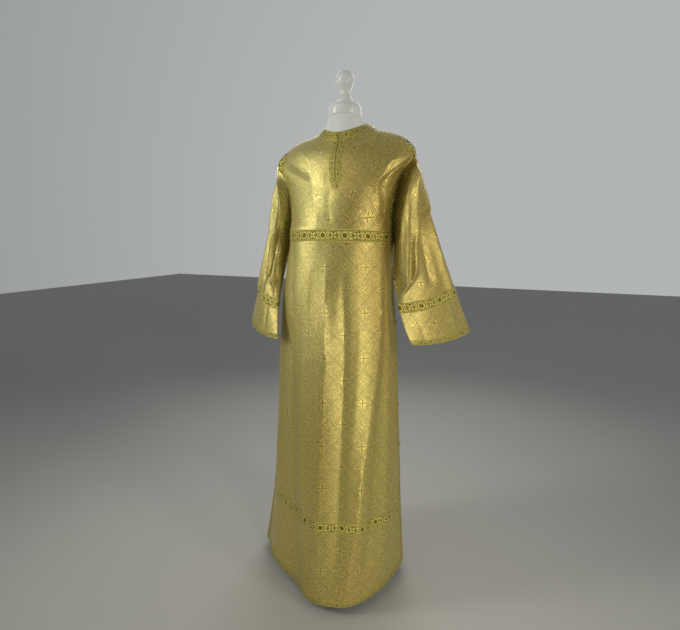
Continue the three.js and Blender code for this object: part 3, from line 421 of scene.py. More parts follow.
def front_columns(knot, length):
    slit_end = KNOT["ridgeEnd"]
    spread = smooth((knot - slit_end) / (KNOT["waist"] - slit_end))
    slit = mix(SLIT_TOP, SLIT_BOTTOM, min(1, knot / slit_end)) / 2
    even = (length - GALLOON_WIDTH) / (BETWEEN + STRIP_STEPS + 0.5)
    inner = length - mix(slit, even / 2, spread)
    strip = inner - mix(STRIP_WIDTH, STRIP_STEPS * even, spread)
    between = np.linspace(GALLOON_WIDTH, strip, BETWEEN + 1)[1:-1]
    return np.concatenate([EDGES, between, np.linspace(strip, inner, STRIP_STEPS + 1)])


def back_columns(knot, length):
    return np.concatenate([EDGES, np.linspace(GALLOON_WIDTH, length, BETWEEN + 4)[1:-1]])


def unevenness(x, z, seed):
    """Shallow swells of the cloth, so that it isn't ruled."""
    a = np.sin(x / 47 + seed) * np.sin(z / 139 + 1.7 * seed)
    b = np.sin(x / 29 - z / 260 + 2.3 * seed) * np.sin(z / 83 + seed)
    return a + 0.6 * b


def mesh_row(knot, face):
    """Points and distance across from the middle of one row, from west to east."""
    west = half_row(knot, "west", face)
    east = half_row(knot, "east", face)
    columns = front_columns if face == "front" else back_columns
    west_length, east_length = run_of(west)[-1], run_of(east)[-1]
    at_west = columns(knot, west_length)
    at_east = columns(knot, east_length)
    middle = [west[-1:]] if face == "back" else []
    points = np.concatenate([along(west, at_west)] + middle + [along(east, at_east)[::-1]])
    offset = np.concatenate(
        [at_west - west_length] + ([[0]] if middle else []) + [(east_length - at_east)[::-1]]
    )
    tangent = np.gradient(points, axis=0)
    out = unit(np.stack([tangent[:, 1], -tangent[:, 0], 0 * tangent[:, 0]], axis=1))
    if face == "back":
        out = -out
    across = 2 * (offset + west_length) / (west_length + east_length) - 1
    height = points[:, 2]

    def down(high, low):
        return (high - height) / (high - low)

    folds, creases = (FRONT_FOLDS, FRONT_CREASES) if face == "front" else (BACK_FOLDS, BACK_CREASES)
    rise = fold_rise(folds, across, down) + crease_rise(creases, across, height)
    calm = smooth((1 - np.abs(across)) / CALM_EDGE) * smooth((knot - CALM_ABOVE) / CALM_RUN)
    loose = mix(LOOSE[0], LOOSE[1], skirt_share(knot))
    rise += loose * calm * unevenness(points[:, 0], height, LOOSE_SEED[face])
    points = points + out * rise[:, None]
    points[0] += unit(points[1] - points[0]) * SEAM / 2
    points[-1] += unit(points[-2] - points[-1]) * SEAM / 2
    return points, offset


# ---------------------------------------------------------------- meshes
def grid_normals(grid, wrap=False):
    down = np.gradient(grid, axis=0)
    if wrap:
        right = (np.roll(grid, -1, axis=1) - np.roll(grid, 1, axis=1)) / 2
    else:
        right = np.gradient(grid, axis=1)
    return unit(np.cross(down, right))


def make_object(name, vertices, faces, uvs, material, slot):
    """uvs has a row for each vertex, in metres of cloth."""
    mesh = bpy.data.meshes.new(name)
    mesh.from_pydata((np.asarray(vertices) * MM + ORIGIN).tolist(), [], faces)
    mesh.update()
    if uvs is not None:
        layer = mesh.uv_layers.new(name="cloth")
        index = np.zeros(len(mesh.loops), np.int32)
        mesh.loops.foreach_get("vertex_index", index)
        layer.data.foreach_set("uv", np.asarray(uvs, np.float32)[index].ravel())
    mesh.polygons.foreach_set("use_smooth", [True] * len(mesh.polygons))
    mesh.set_sharp_from_angle(angle=radians(SHARP_ANGLE))
    mesh.materials.append(material)
    piece = bpy.data.objects.new(name, mesh)
    bpy.context.scene.collection.objects.link(piece)
    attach(piece, "root")
    return piece


def shell(name, outer, inner, uv, material, slot, wrap=False, mask=None):
    """Closed thin sheet between two grids of points."""
    rows, cols = outer.shape[:2]
    cell_cols = cols if wrap else cols - 1
    cloth = np.ones((rows - 1, cell_cols), bool) if mask is None else mask
    number = np.arange(rows * cols).reshape(rows, cols)
    under = number + rows * cols
    nxt = (np.arange(cell_cols) + 1) % cols
    a, b = number[:-1, :cell_cols], number[:-1][:, nxt]
    c, d = number[1:, :cell_cols], number[1:][:, nxt]
    faces = np.stack([a, c, d, b], axis=-1)[cloth].tolist()
    faces += (np.stack([a, b, d, c], axis=-1) + rows * cols)[cloth].tolist()
    padded = np.zeros((rows + 1, cell_cols + 2), bool)
    padded[1:-1, 1:-1] = cloth
    if wrap:
        padded[1:-1, 0] = cloth[:, -1]
        padded[1:-1, -1] = cloth[:, 0]
    for i, j in np.argwhere(cloth):
        k = (j + 1) % cols
        corners = ((i, j), (i, k), (i + 1, k), (i + 1, j))
        beside = padded[i, j + 1], padded[i + 1, j + 2], padded[i + 2, j + 1], padded[i + 1, j]
        for here, there, more in zip(corners, corners[1:] + corners[:1], beside):
            if not more:
                faces.append([number[here], number[there], under[there], under[here]])
    used = np.zeros(2 * rows * cols, bool)
    used[np.concatenate([np.ravel(f) for f in faces])] = True
    renumber = np.cumsum(used) - 1
    faces = [[int(renumber[v]) for v in f] for f in faces]
    points = np.concatenate([outer.reshape(-1, 3), inner.reshape(-1, 3)])[used]
    uvs = np.concatenate([uv.reshape(-1, 2)] * 2)[used] * MM
    return make_object(name, points, faces, uvs, material, slot)


# ---------------------------------------------------------------- node helpers
RANGE_INPUTS = ("From Min", "From Max", "To Min", "To Max")


class Value:
    """A shader value that can be added, multiplied and compared in plain Python."""

    def __init__(self, tree, socket):
        self.tree = tree
        self.socket = socket

    def math(self, operation, *others):
        node = self.tree.nodes.new("ShaderNodeMath")
        node.operation = operation
        for slot_, value in zip(node.inputs, (self,) + others):
            if isinstance(value, Value):
                self.tree.links.new(value.socket, slot_)
            else:
                slot_.default_value = value
        return Value(self.tree, node.outputs[0])

    def __add__(self, other):
        return self.math("ADD", other)

    def __sub__(self, other):
        return self.math("SUBTRACT", other)

    def __mul__(self, other):
        return self.math("MULTIPLY", other)

    def __pow__(self, other):
        return self.math("POWER", other)

    def __abs__(self):
        return self.math("ABSOLUTE")

    def near(self, period):
        """Distance from the nearest multiple of a period."""
        return self.math("PINGPONG", period / 2)

    def wrapped(self, period, shift=0.0):
        """Signed distance from the nearest multiple of a period, shifted."""
        return (self - shift).math("WRAP", period / 2, -period / 2)

    def below(self, edge, soft):
        """1 where the value is under edge, 0 above it, with a soft step."""
        node = self.tree.nodes.new("ShaderNodeMapRange")
        node.interpolation_type = "SMOOTHSTEP"
        self.tree.links.new(self.socket, node.inputs["Value"])
        for key, value in zip(RANGE_INPUTS, (edge - soft, edge + soft, 1, 0)):
            node.inputs[key].default_value = value
        return Value(self.tree, node.outputs[0])

    def scaled(self, low, high, to_low, to_high):
        """The value between low and high, spread from to_low to to_high and held there beyond."""
        node = self.tree.nodes.new("ShaderNodeMapRange")
        self.tree.links.new(self.socket, node.inputs["Value"])
        for key, value in zip(RANGE_INPUTS, (low, high, to_low, to_high)):
            node.inputs[key].default_value = value
        return Value(self.tree, node.outputs[0])


def both(*values):
    """The largest of the values: where any of the masks is."""
    total = values[0]
    for value in values[1:]:
        total = total.math("MAXIMUM", value)
    return total


class Material:
    """A node material with its Principled shader."""

    def __init__(self, name, metallic, roughness, sheen=0.0, coat=0.0):
        self.material = bpy.data.materials.new(name)
        self.material.use_nodes = True
        self.tree = self.material.node_tree
        self.shader = self.tree.nodes["Principled BSDF"]
        self.shader.inputs["Metallic"].default_value = metallic
        self.shader.inputs["Roughness"].default_value = roughness
        self.shader.inputs["Sheen Weight"].default_value = sheen
        self.shader.inputs["Coat Weight"].default_value = coat
        self.uv = None

    def node(self, kind):
        return self.tree.nodes.new(kind)

    def link(self, source, target):
        self.tree.links.new(getattr(source, "socket", source), target)

    def cloth_uv(self):
        """Distances along and across the cloth, in millimetres."""
        uv = self.node("ShaderNodeUVMap")
        uv.uv_map = "cloth"
        self.uv = uv.outputs[0]
        split = self.node("ShaderNodeSeparateXYZ")
        self.link(uv.outputs[0], split.inputs[0])
        return Value(self.tree, split.outputs[0]) * 1000, Value(self.tree, split.outputs[1]) * 1000

    def place(self):
        geometry = self.node("ShaderNodeTexCoord")
        return geometry.outputs["Object"]

    def height(self):
        """Height above the floor, in metres."""
        split = self.node("ShaderNodeSeparateXYZ")
        self.link(self.place(), split.inputs[0])
        return Value(self.tree, split.outputs[2])

    def stretched(self, x, y, z):
        """Place on the object, scaled along each axis."""
        node = self.node("ShaderNodeMapping")
        node.inputs["Scale"].default_value = (x, y, z)
        self.link(self.place(), node.inputs["Vector"])
        return node.outputs[0]

    def noise(self, scale, detail=2.0, vector=None):
        node = self.node("ShaderNodeTexNoise")
        node.inputs["Scale"].default_value = scale
        node.inputs["Detail"].default_value = detail
        self.link(vector or self.place(), node.inputs["Vector"])
        return Value(self.tree, node.outputs["Fac"])

    def colour(self, rgb):
        node = self.node("ShaderNodeRGB")
        node.outputs[0].default_value = (*rgb, 1)
        return node.outputs[0]

    def blend(self, factor, first, second):
        node = self.node("ShaderNodeMix")
        node.data_type = "RGBA"
        self.link(factor, node.inputs["Factor"])
        for source, key in ((first, 6), (second, 7)):
            if isinstance(source, tuple):
                node.inputs[key].default_value = (*source, 1)
            else:
                self.link(source, node.inputs[key])
        return node.outputs[2]

    def bump(self, height, depth_mm, previous=None):
        node = self.node("ShaderNodeBump")
        node.inputs["Distance"].default_value = depth_mm * MM
        self.link(height, node.inputs["Height"])
        if previous:
            self.link(previous, node.inputs["Normal"])
        return node.outputs[0]

    def finish(self, colour, roughness=None, normal=None, metallic=None):
        self.link(colour, self.shader.inputs["Base Color"])
        for value, key in ((roughness, "Roughness"), (normal, "Normal"), (metallic, "Metallic")):
            if value is not None:
                self.link(value, self.shader.inputs[key])
        return self.material


# ---------------------------------------------------------------- brocade
MOTIF_ACROSS = 115.0
MOTIF_DOWN = 133.0
CELLS_ACROSS = 18  # cells of the fine lattice to a repeat of the crosses
CELLS_DOWN = 20
GROUND = (0.48, 0.385, 0.076)
# The next two colours are painted light on the ground: a pale sheen, and a warm light in streaks.
GROUND_SHEEN = (0.51, 0.455, 0.150)
GROUND_WARM_LIGHT = (0.51, 0.355, 0.068)
THREAD = (0.12, 0.085, 0.014)
BRIGHT = (0.92, 0.82, 0.32)
LATTICE_LINE = (0.10, 0.07)  # half width and softness, in cells
LATTICE_DOT = (0.25, 0.10)
TRELLIS_LINE = (0.024, 0.014)  # in diamonds of the trellis
LATTICE_DARKNESS = 0.68
TRELLIS_DARKNESS = 0.75
THREAD_SIZE = (0.9, 0.6)  # of the weave, across and down
DIAGONAL = 0.7071


def motif_place(u, v, shift_u, shift_v):
    """Distances across and down from the nearest motif."""
    return abs(u.wrapped(MOTIF_ACROSS, shift_u)), abs(v.wrapped(MOTIF_DOWN, shift_v))


def line_at(value, at, half, soft=0.3):
    """Mask of a line where the value is close to at."""
    return abs(value - at).below(half, soft)


def spot(x, y, at_x, at_y, half_x, half_y, soft=0.3):
    """Mask of an oval at (at_x, at_y)."""
    return (((x - at_x) * (1 / half_x)) ** 2 + ((y - at_y) * (1 / half_y)) ** 2).below(1, soft)


def cross_motif(x, y):
    """Masks of the dark lines, the bright strokes and the cleared ground of a cross."""
    taxi = x + y
    short_way = abs((x - y) * DIAGONAL)
    core = both(x.below(0.9, 0.5) * y.below(17, 1), y.below(0.9, 0.5) * x.below(17, 1))
    ticks = both(spot(x, y, 8.2, 13.2, 2.2, 2.2), spot(x, y, 13.2, 8.2, 2.2, 2.2))
    stroke = short_way.below(1.7, 0.5) * line_at(taxi * DIAGONAL, 8, 4.2, 0.7)
    ends = both(spot(x, y, 2.9, 13, 1.4, 3.6), spot(x, y, 13, 2.9, 3.6, 1.4))
    return both(core * 0.8, ticks * 0.7), both(stroke, ends) * 0.55, taxi.below(17, 1.5)


def flower_motif(x, y):
    """Masks of the dark heart, the bright petals and the cleared ground of a small flower."""
    petals = both(spot(x, y, 6.6, 0, 3.4, 2.2), spot(x, y, 0, 6.6, 2.2, 3.4))
    heart = both(spot(x, y, 0, 0, 2.4, 2.4), spot(x, y, 5.4, 5.4, 1.8, 1.8) * 0.7)
    return heart * 0.6, petals * 0.5, (x + y).below(10, 1)


def brocade_material():
    m = Material("gold_brocade", metallic=0.45, roughness=0.5)
    u, v = m.cloth_uv()
    cells_u = u * (CELLS_ACROSS / MOTIF_ACROSS)
    cells_v = v * (CELLS_DOWN / MOTIF_DOWN)
    a, b = cells_u + cells_v, cells_u - cells_v
    lines = both(a.near(1).below(*LATTICE_LINE), b.near(1).below(*LATTICE_LINE))
    dots = ((a - 0.5).near(1) ** 2 + (b - 0.5).near(1) ** 2).math("SQRT").below(*LATTICE_DOT)
    wide_u, wide_v = u * (2 / MOTIF_ACROSS), v * (2 / MOTIF_DOWN)
    wide_a, wide_b = wide_u + wide_v, wide_u - wide_v
    trellis = both(*[(wide - 0.5).near(1).below(*TRELLIS_LINE) for wide in (wide_a, wide_b)])
    half_u, half_v = MOTIF_ACROSS / 2, MOTIF_DOWN / 2
    motifs = [cross_motif(*motif_place(u, v, *shift)) for shift in ((0, 0), (half_u, half_v))]
    motifs += [flower_motif(*motif_place(u, v, *shift)) for shift in ((half_u, 0), (0, half_v))]
    dark_motifs, bright_motifs, fields = (both(*masks) for masks in zip(*motifs))
    open_ground = fields * -1 + 1
    # The drawing fades towards one edge of the panel, along an uneven line: a painted sheen that washes
    # the pattern out there.
    uneven = m.noise(1.0, 1.0, m.stretched(5, 5, 1.2)).scaled(0.3, 0.7, -60, 60)
    shows = (uneven + u).scaled(-130, 10, 0.4, 1)
    dark = both(lines * open_ground * LATTICE_DARKNESS, trellis * TRELLIS_DARKNESS, dark_motifs) * shows
    bright = both(dots * open_ground, bright_motifs)
    warp, weft = (way.near(size) * (2 / size) for way, size in zip((u, v), THREAD_SIZE))
    weave = warp.math("SMOOTH_MAX", weft, 0.2)
    glint = m.noise(300, 2.0, m.uv).scaled(0.36, 0.66, 0, 1)
    sparkle = m.noise(130, 2.0, m.uv).scaled(0.40, 0.62, 0, 1)
    # The ground is warmer in long streaks of painted warm light, and paler with a painted sheen on the
    # upper part of that same side.
    warm_light_streak = m.noise(1.0, 2.0, m.stretched(7, 7, 1.3))
    ground = m.blend(warm_light_streak.scaled(0.44, 0.60, 0, 1), GROUND_WARM_LIGHT, GROUND)
    uneven = m.noise(1.0, 2.0, m.stretched(9, 9, 1.8)).scaled(0.3, 0.7, -90, 90)
    pale = (uneven - u).scaled(-60, 90, 0, 1)
    ground = m.blend(pale * m.height().scaled(0.5, 1.1, 0, 1), ground, GROUND_SHEEN)
    ground = m.blend(weave * 0.06 + glint * 0.18 + sparkle * 0.20, ground, BRIGHT)
    ground = m.blend(sparkle * -0.22 + 0.22, ground, THREAD)
    colour = m.blend(dark * 0.9, ground, THREAD)
    colour = m.blend(bright * (glint * 0.4 + 0.5), colour, BRIGHT)
    relief = bright + weave * 0.3 - dark * 0.8
    normal = m.bump(relief, 0.10)
    normal = m.bump(glint, 0.22, normal)
    normal = m.bump(m.noise(38, 3.0), 0.6, normal)
    roughness = bright * -0.08 + dark * 0.2 + m.noise(9, 2.0).scaled(0.3, 0.7, 0.36, 0.46)
    metallic = dark * -0.4 + 0.58
    return m.finish(colour, roughness, normal, metallic)


# ---------------------------------------------------------------- galloon
GALLOON_REPEAT = 66.0
GOLD_DARK = (0.13, 0.10, 0.008)
GOLD = (0.38, 0.31, 0.027)
GOLD_PALE = (1.0, 0.88, 0.26)
# The ribbon's drawing: places from its middle line, each with a half width
PALE_BORDERS = ((15.7, 1.1), (12.3, 0.7))
DARK_BORDER = (13.9, 1.0)
FIELD = 11.4
RING = (9.0, 1.5)
DISC = 6.8
CROSS_ARM = 7
LEAF_PLACE = 16.5  # along the ribbon, from a cross


def galloon_material(name, width, darkness):
    """Woven ribbon with double border lines, rings with a cross in them and small leaves."""
    scale = width / GALLOON_WIDTH
    m = Material(name, metallic=0.45, roughness=0.3)
    u, v = m.cloth_uv()
    u, v = u * (1 / scale), (v * (1 / scale)).math("WRAP", GALLOON_WIDTH, 0)
    middle = abs(v - GALLOON_WIDTH / 2)
    pale_line = both(*[line_at(middle, *border) for border in PALE_BORDERS])
    dark_line = line_at(middle, *DARK_BORDER)
    inside = middle.below(FIELD, 0.3)
    from_ring = u.wrapped(GALLOON_REPEAT)
    from_cross = abs(u.wrapped(GALLOON_REPEAT, GALLOON_REPEAT / 2))
    radius = (from_ring * from_ring + middle * middle).math("SQRT")
    arms = [
        one.below(0.9, 0.3) * other.below(CROSS_ARM, 0.4)
        for one, other in ((from_cross, middle), (middle, from_cross))
    ]
    petals = spot((from_cross + middle) * DIAGONAL, (from_cross - middle) * DIAGONAL, 6.6, 0, 4.8, 2.5)
    chevron = line_at(abs(from_cross - LEAF_PLACE), middle * 0.6, 1.1) * middle.below(9.5, 0.4)
    leaves = spot(from_cross, middle, LEAF_PLACE, 8.6, 4.2, 1.8)
    raised = both(line_at(radius, *RING), petals, chevron, leaves) * inside
    low = both(radius.below(DISC, 0.5), *arms) * inside
    ribs = (u + v * 0.5).near(0.8) * (1 / 0.4)
    glint = m.noise(520, 2.0, m.uv).scaled(0.40, 0.60, 0, 1)
    ground = m.blend(ribs * 0.15 + glint * 0.2, GOLD, GOLD_PALE)
    ground = m.blend(both(inside * darkness, low * 0.85, dark_line * 0.95), ground, GOLD_DARK)
    colour = m.blend(both(raised, pale_line * 0.6) * (glint * 0.5 + 0.5), ground, GOLD_PALE)
    relief = raised + pale_line - dark_line * 0.6 + ribs * 0.25
    normal = m.bump(relief, 0.25 * scale)
    normal = m.bump(glint, 0.5, normal)
    roughness = m.noise(60, 2.0).scaled(0.3, 0.7, 0.26, 0.42)
    return m.finish(colour, roughness, normal)


# ---------------------------------------------------------------- plain materials
def jersey_material():
    m = Material("white_jersey", metallic=0, roughness=0.8, sheen=0.25)
    place = m.place()
    wave = m.node("ShaderNodeTexWave")
    wave.inputs["Scale"].default_value = 260
    wave.inputs["Distortion"].default_value = 0.6
    m.link(place, wave.inputs["Vector"])
    knit = Value(m.tree, wave.outputs["Fac"])
    colour = m.blend(m.noise(14, 2.0).scaled(0.3, 0.7, 0, 0.6), (0.80, 0.84, 0.85), (0.72, 0.76, 0.78))
    colour = m.blend(knit * 0.12, colour, (0.66, 0.71, 0.75))
    normal = m.bump(knit, 0.12)
    normal = m.bump(m.noise(22, 2.0), 0.5, normal)
    return m.finish(colour, None, normal)


def paint_material(name, light, shade, roughness):
    m = Material(name, metallic=0, roughness=roughness, coat=0.25)
    grain = m.noise(120, 3.0, m.stretched(1, 1, 0.25))
    colour = m.blend(m.noise(16, 3.0).scaled(0.35, 0.7, 0, 0.8), light, shade)
    normal = m.bump(grain, 0.08)
    worn = m.noise(40, 2.0).scaled(0.3, 0.7, roughness - 0.06, roughness + 0.1)
    return m.finish(colour, worn, normal)


def button_material():
    m = Material("dark_gold_button", metallic=0.5, roughness=0.35)
    colour = m.blend(m.noise(700, 2.0).scaled(0.35, 0.65, 0, 1), (0.32, 0.25, 0.05), (0.52, 0.42, 0.12))
    return m.finish(colour, None, m.bump(m.noise(900, 2.0), 0.15))


BROCADE = brocade_material()
RIBBON = galloon_material("galloon_wide", GALLOON_WIDTH, 0.62)
RIBBON_NARROW = galloon_material("galloon_narrow", EDGING_WIDTH, 0.85)
JERSEY = jersey_material()
PAINT = paint_material("white_paint", (0.78, 0.81, 0.83), (0.66, 0.69, 0.71), 0.34)
STEEL_PAINT = paint_material("steel_paint", (0.74, 0.75, 0.77), (0.62, 0.63, 0.65), 0.4)
BUTTON_DARK = button_material()

# ---------------------------------------------------------------- panels
panels = {}
for face in ("front", "back"):
    rows = [mesh_row(knot, face) for knot in MESH_KNOTS]
    grid = np.stack([points for points, _ in rows])
    offset = np.stack([across for _, across in rows])
    if face == "back":
        grid, offset = grid[:, ::-1], -offset[:, ::-1]
    centre = grid[:, grid.shape[1] // 2]
    depth = np.repeat(run_of(centre)[:, None], grid.shape[1], axis=1)
    normal = grid_normals(grid)
    uv = np.stack([offset, -depth], axis=-1)
    panels[face] = dict(grid=grid, normal=normal, uv=uv, cols=grid.shape[1])
front, back = panels["front"], panels["back"]

SLIT = front["cols"] // 2 - 1
SLIT_END = LINE["ridgeEnd"] - ROW_DENSITY
slit_mask = np.ones((len(MESH_KNOTS) - 1, front["cols"] - 1), bool)
slit_mask[:SLIT_END, SLIT] = False

for name, panel, mask in (("front", front, slit_mask), ("back", back, None)):
    inner = panel["grid"] - panel["normal"] * CLOTH
    shell(f"{name}_cloth", panel["grid"], inner, panel["uv"], BROCADE, "brocade", mask=mask)
    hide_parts(f"{name}_panel")


# ---------------------------------------------------------------- what is sewn on the panels
def trim(name, node, points, normals, lengthwise, ribbon, wrap=False, mask=None, strips=1):
    """A ribbon that lies on its panel. lengthwise is the axis of the grid along the ribbon."""
    rows, cols = points.shape[:2]
    height = np.full((rows, cols), PROUD + GALLOON)
    edge = PROUD + GALLOON * EDGE_SHARE
    if lengthwise == 1:
        height[0], height[-1] = edge, edge
    if lengthwise == 0 or not wrap:
        height[:, 0], height[:, -1] = edge, edge
    middle = points[rows // 2]
    right = run_of(np.concatenate([middle, middle[:1]]) if wrap else middle)[:cols]
    down = run_of(points[:, cols // 2])
    width = ribbon * strips
    if lengthwise == 1:
        run, across = np.meshgrid(right, down * width / down[-1])
    else:
        across, run = np.meshgrid(right * width / right[-1], down)
    uv = np.stack([run - run.max() / 2, across], axis=-1)
    material = RIBBON if ribbon == GALLOON_WIDTH else RIBBON_NARROW
    outer, inner = points + normals * height[..., None], points + normals * PROUD
    piece = shell(name, outer, inner, uv, material, "galloon", wrap=wrap, mask=mask)
    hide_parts(node)


def window(panel, rows, cols):
    cut = np.s_[rows[0]: rows[1] + 1, cols[0]: cols[1] + 1]
    return panel["grid"][cut], panel["normal"][cut]


def from_east(panel, col):
    return panel["cols"] - 1 - col


trim(
    "chest_ribbon", "chest_band",
    *window(front, (LINE["chestTop"], LINE["underarm"]), (GALLOON_COL, from_east(front, GALLOON_COL))),
    1, GALLOON_WIDTH,
)
side_top = LINE["underarm"] + ROW_DENSITY
for face, panel, sides in (("front", front, ("right", "left")), ("back", back, ("left", "right"))):
    last = panel["cols"] - 1
    inset = EDGING_COL
    trim(
        f"hem_ribbon_{face}", f"hem_band_{face}",
        *window(panel, (LINE["hemBandTop"], LINE["hemBandBottom"]), (inset, last - inset)),
        1, GALLOON_WIDTH,
    )
    trim(
        f"hem_edging_{face}", f"hem_trim_{face}",
        *window(panel, (LINE["hemTrimTop"], LINE["hem"]), (0, last)), 1, EDGING_WIDTH,
    )
    for side, cols in zip(sides, ((0, EDGING_COL), (last - EDGING_COL, last))):
        trim(
            f"side_edging_{face}_{side}", f"side_trim_{face}_{side}",
            *window(panel, (side_top, LINE["hemTrimTop"]), cols), 0, EDGING_WIDTH,
        )


def joined(rows, *stretches):
    """Columns of both panels side by side; a shared seam column is the middle of the two."""
    points, normals = [], []
    for stretch in stretches:
        if len(stretch) == 4:
            (one, i, other, j) = stretch
            points.append((one["grid"][rows, i] + other["grid"][rows, j]) / 2)
            normals.append(unit(one["normal"][rows, i] + other["normal"][rows, j]))
        else:
            panel, i = stretch
            points.append(panel["grid"][rows, i])
            normals.append(panel["normal"][rows, i])
    return np.stack(points, axis=1), np.stack(normals, axis=1)


collar_rows = np.arange(0, LINE["collarEdge"] + 1)
collar = joined(
    collar_rows,
    *[(front, i) for i in range(SLIT + 1, front["cols"] - 1)],
    (front, -1, back, 0),
    *[(back, i) for i in range(1, back["cols"] - 1)],
    (back, -1, front, 0),
    *[(front, i) for i in range(1, SLIT + 1)],
)
trim("collar_edging", "collar_band", *collar, 1, EDGING_WIDTH)

for side, (one, other) in (("left", (front, back)), ("right", (back, front))):
    rows = np.arange(LINE["shoulderTip"], LINE["underarm"] - ROW_DENSITY + 1)
    points, normals = joined(
        rows,
        *[(one, one["cols"] - 1 - k) for k in range(GALLOON_COL, 0, -1)],
        (one, -1, other, 0),
        *[(other, k) for k in range(1, GALLOON_COL + 1)],
    )
    cells = points.shape[1] - 1
    mask = np.ones((len(rows) - 1, cells), bool)
    mask[LINE["ridgeEnd"] - LINE["shoulderTip"]:, cells // 2 - 1: cells // 2 + 1] = False
    trim(
        f"armhole_ribbon_{side}", f"armhole_band_{side}", points, normals, 0, GALLOON_WIDTH,
        mask=mask, strips=2,
    )

placket_rows = slice(LINE["collarEdge"] + 1, LINE["ridgeEnd"] + 1)
placket_cols = slice(SLIT - STRIP_STEPS, SLIT + 2 + STRIP_STEPS)
points = front["grid"][placket_rows, placket_cols].copy()
normals = front["normal"][placket_rows, placket_cols]
point_rows = int(ROW_DENSITY * POINT_LENGTH)
middle_line = (points[:, STRIP_STEPS] + points[:, STRIP_STEPS + 1]) / 2
for k in range(point_rows):
    narrow = mix(PLACKET_POINT, 1, (k / point_rows) ** POINT_ROUNDNESS)
    row = len(points) - 1 - k
    points[row] = mix(middle_line[row], points[row], narrow)
mask = np.ones((points.shape[0] - 1, points.shape[1] - 1), bool)
mask[: SLIT_END - LINE["collarEdge"] - 1, STRIP_STEPS] = False
trim("placket_edging", "placket", points, normals, 0, EDGING_WIDTH, mask=mask, strips=2)


# ---------------------------------------------------------------- sleeves
def armhole_loop(side):
    def edge(panel, east):
        rows = slice(LINE["ridgeEnd"], LINE["underarm"] + 1)
        col = -1 if east else 0
        return panel["grid"][rows, col], panel["normal"][rows, col]

    front_points, front_normals = edge(front, side > 0)
    back_points, back_normals = edge(back, side < 0)

    def place(points, normals, share):
        at = share * (len(points) - 1)
        index = np.arange(len(points))
        p, n = (
            np.stack([np.interp(at, index, rows[:, k]) for k in range(3)], axis=1)
            for rows in (points, normals)
        )
        return p, unit(n)

    share_front = np.linspace(0, 1, SLEEVE_FRONT + 1)
    share_back = np.linspace(0, 1, SLEEVE_BACK + 1)[1:-1]
    pf, nf = place(front_points, front_normals, share_front)
    pb, nb = place(back_points, back_normals, 1 - share_back)
    points, normals = np.concatenate([pf, pb]), np.concatenate([nf, nb])
    across = np.concatenate([share_front, 1 + share_back])
    if side > 0:
        order = np.concatenate([[0], np.arange(len(points) - 1, 0, -1)])
        points, normals, across = points[order], normals[order], across[order]
    return points, normals, across


def sleeve_line(sleeve, start, across):
    outer, inner = np.array(sleeve["outer"], float), np.array(sleeve["inner"], float)
    share = across if across <= 1 else 2 - across
    face = 1 if across <= 1 else -1
    swell = max(0.0, sin(pi * share)) ** ROUNDNESS
    chord = outer - inner
    out = unit(np.array([chord[1], -chord[0], 0])) * sleeve["side"] * face
    cuff = mix(outer, inner, share) + out * sleeve["bulge"] * swell
    cuff[2] -= CUFF_SAG * swell * (1 if face > 0 else CUFF_SAG_BACK)
    leave_x, leave_y, leave_z = sleeve["leave_side"]
    middle = np.array([leave_x, face * leave_y, leave_z])
    if share < 0.5:
        leave = mix(np.array(sleeve["leave_top"]), middle, smooth(2 * share))
    else:
        leave = mix(middle, np.array(sleeve["leave_under"]), smooth(2 * share - 1))
    arrive = mix(np.array(sleeve["arrive_outer"]), np.array(sleeve["arrive_inner"]), share)
    turn = np.array([sleeve["side"], -1, -1])
    return bezier(start, start + leave * turn, cuff - arrive * turn, cuff, SLEEVE_STEPS)


def beside_groove(sleeve, across, distances):
    """How far points at these distances from the armhole stand out beside the groove."""
    face = 1 if across <= 1 else -1
    share = across if across <= 1 else 2 - across
    ends = smooth(share / GROOVE_ENDS) * smooth((1 - share) / GROOVE_ENDS)
    run = smooth(distances / GROOVE_RUN) * (1 - smooth((distances - GROOVE_RUN) / GROOVE_FADE))
    size = ends * (1 if face > 0 else GROOVE_BACK)
    outwards, forwards = sleeve["ridge"]
    sunk = size * GROOVE_SINK * np.sin(pi * np.clip(distances / GROOVE_RUN, 0, 1))
    stands = (size * run)[:, None] * np.array([sleeve["side"] * outwards, -face * forwards, 0])
    return stands + sunk[:, None] * np.array([0, face * forwards, 0])


def sleeve_grid(name, sleeve):
    loop, normals, across = armhole_loop(sleeve["side"])
    tangent = np.roll(loop, -1, axis=0) - np.roll(loop, 1, axis=0)
    beyond = unit(np.cross(tangent, normals))
    on = START_ON * smooth((np.abs(across - 1) - START_FROM) / START_RUN) + START_LEAST
    starts = loop + beyond * on[:, None] + normals * START_OFF
    columns, runs, lengths = [], [], []
    for start, place in zip(starts, across):
        line = sleeve_line(sleeve, start, place)
        length = run_of(line)[-1]
        low = length - mix(sleeve["band_outer"], sleeve["band_inner"], 1 - abs(1 - place))
        top = low - GALLOON_WIDTH
        trim_top = length - EDGING_WIDTH
        distances = np.concatenate([
            np.linspace(0, GROOVE_RUN, GROOVE_ROWS + 1),
            np.linspace(GROOVE_RUN, top, SLEEVE_LENGTH - GROOVE_ROWS + 1)[1:],
            np.linspace(top, low, BAND_ROWS + 1)[1:],
            np.linspace(low, trim_top, CUFF_ROWS + 1)[1:],
            np.linspace(trim_top, length, TRIM_ROWS + 1)[1:],
        ])
        columns.append(along(line, distances) + beside_groove(sleeve, place, distances))
        runs.append(distances / length)
        lengths.append(distances - length)
    grid = np.stack(columns, axis=1)
    run = np.stack(runs, axis=1)
    plain = grid_normals(grid, wrap=True)
    moved = grid.copy()
    folds = SLEEVE_FOLDS[name] + [(*CAP_PUFF, sleeve["puff"])]
    for i in range(grid.shape[0]):
        rise = fold_rise(folds, across, lambda low, high, i=i: (run[i] - low) / (high - low))
        rise += crease_rise(SLEEVE_CREASES[name], across, run[i])
        moved[i] += plain[i] * rise[:, None]
    return moved, np.stack(lengths, axis=1)


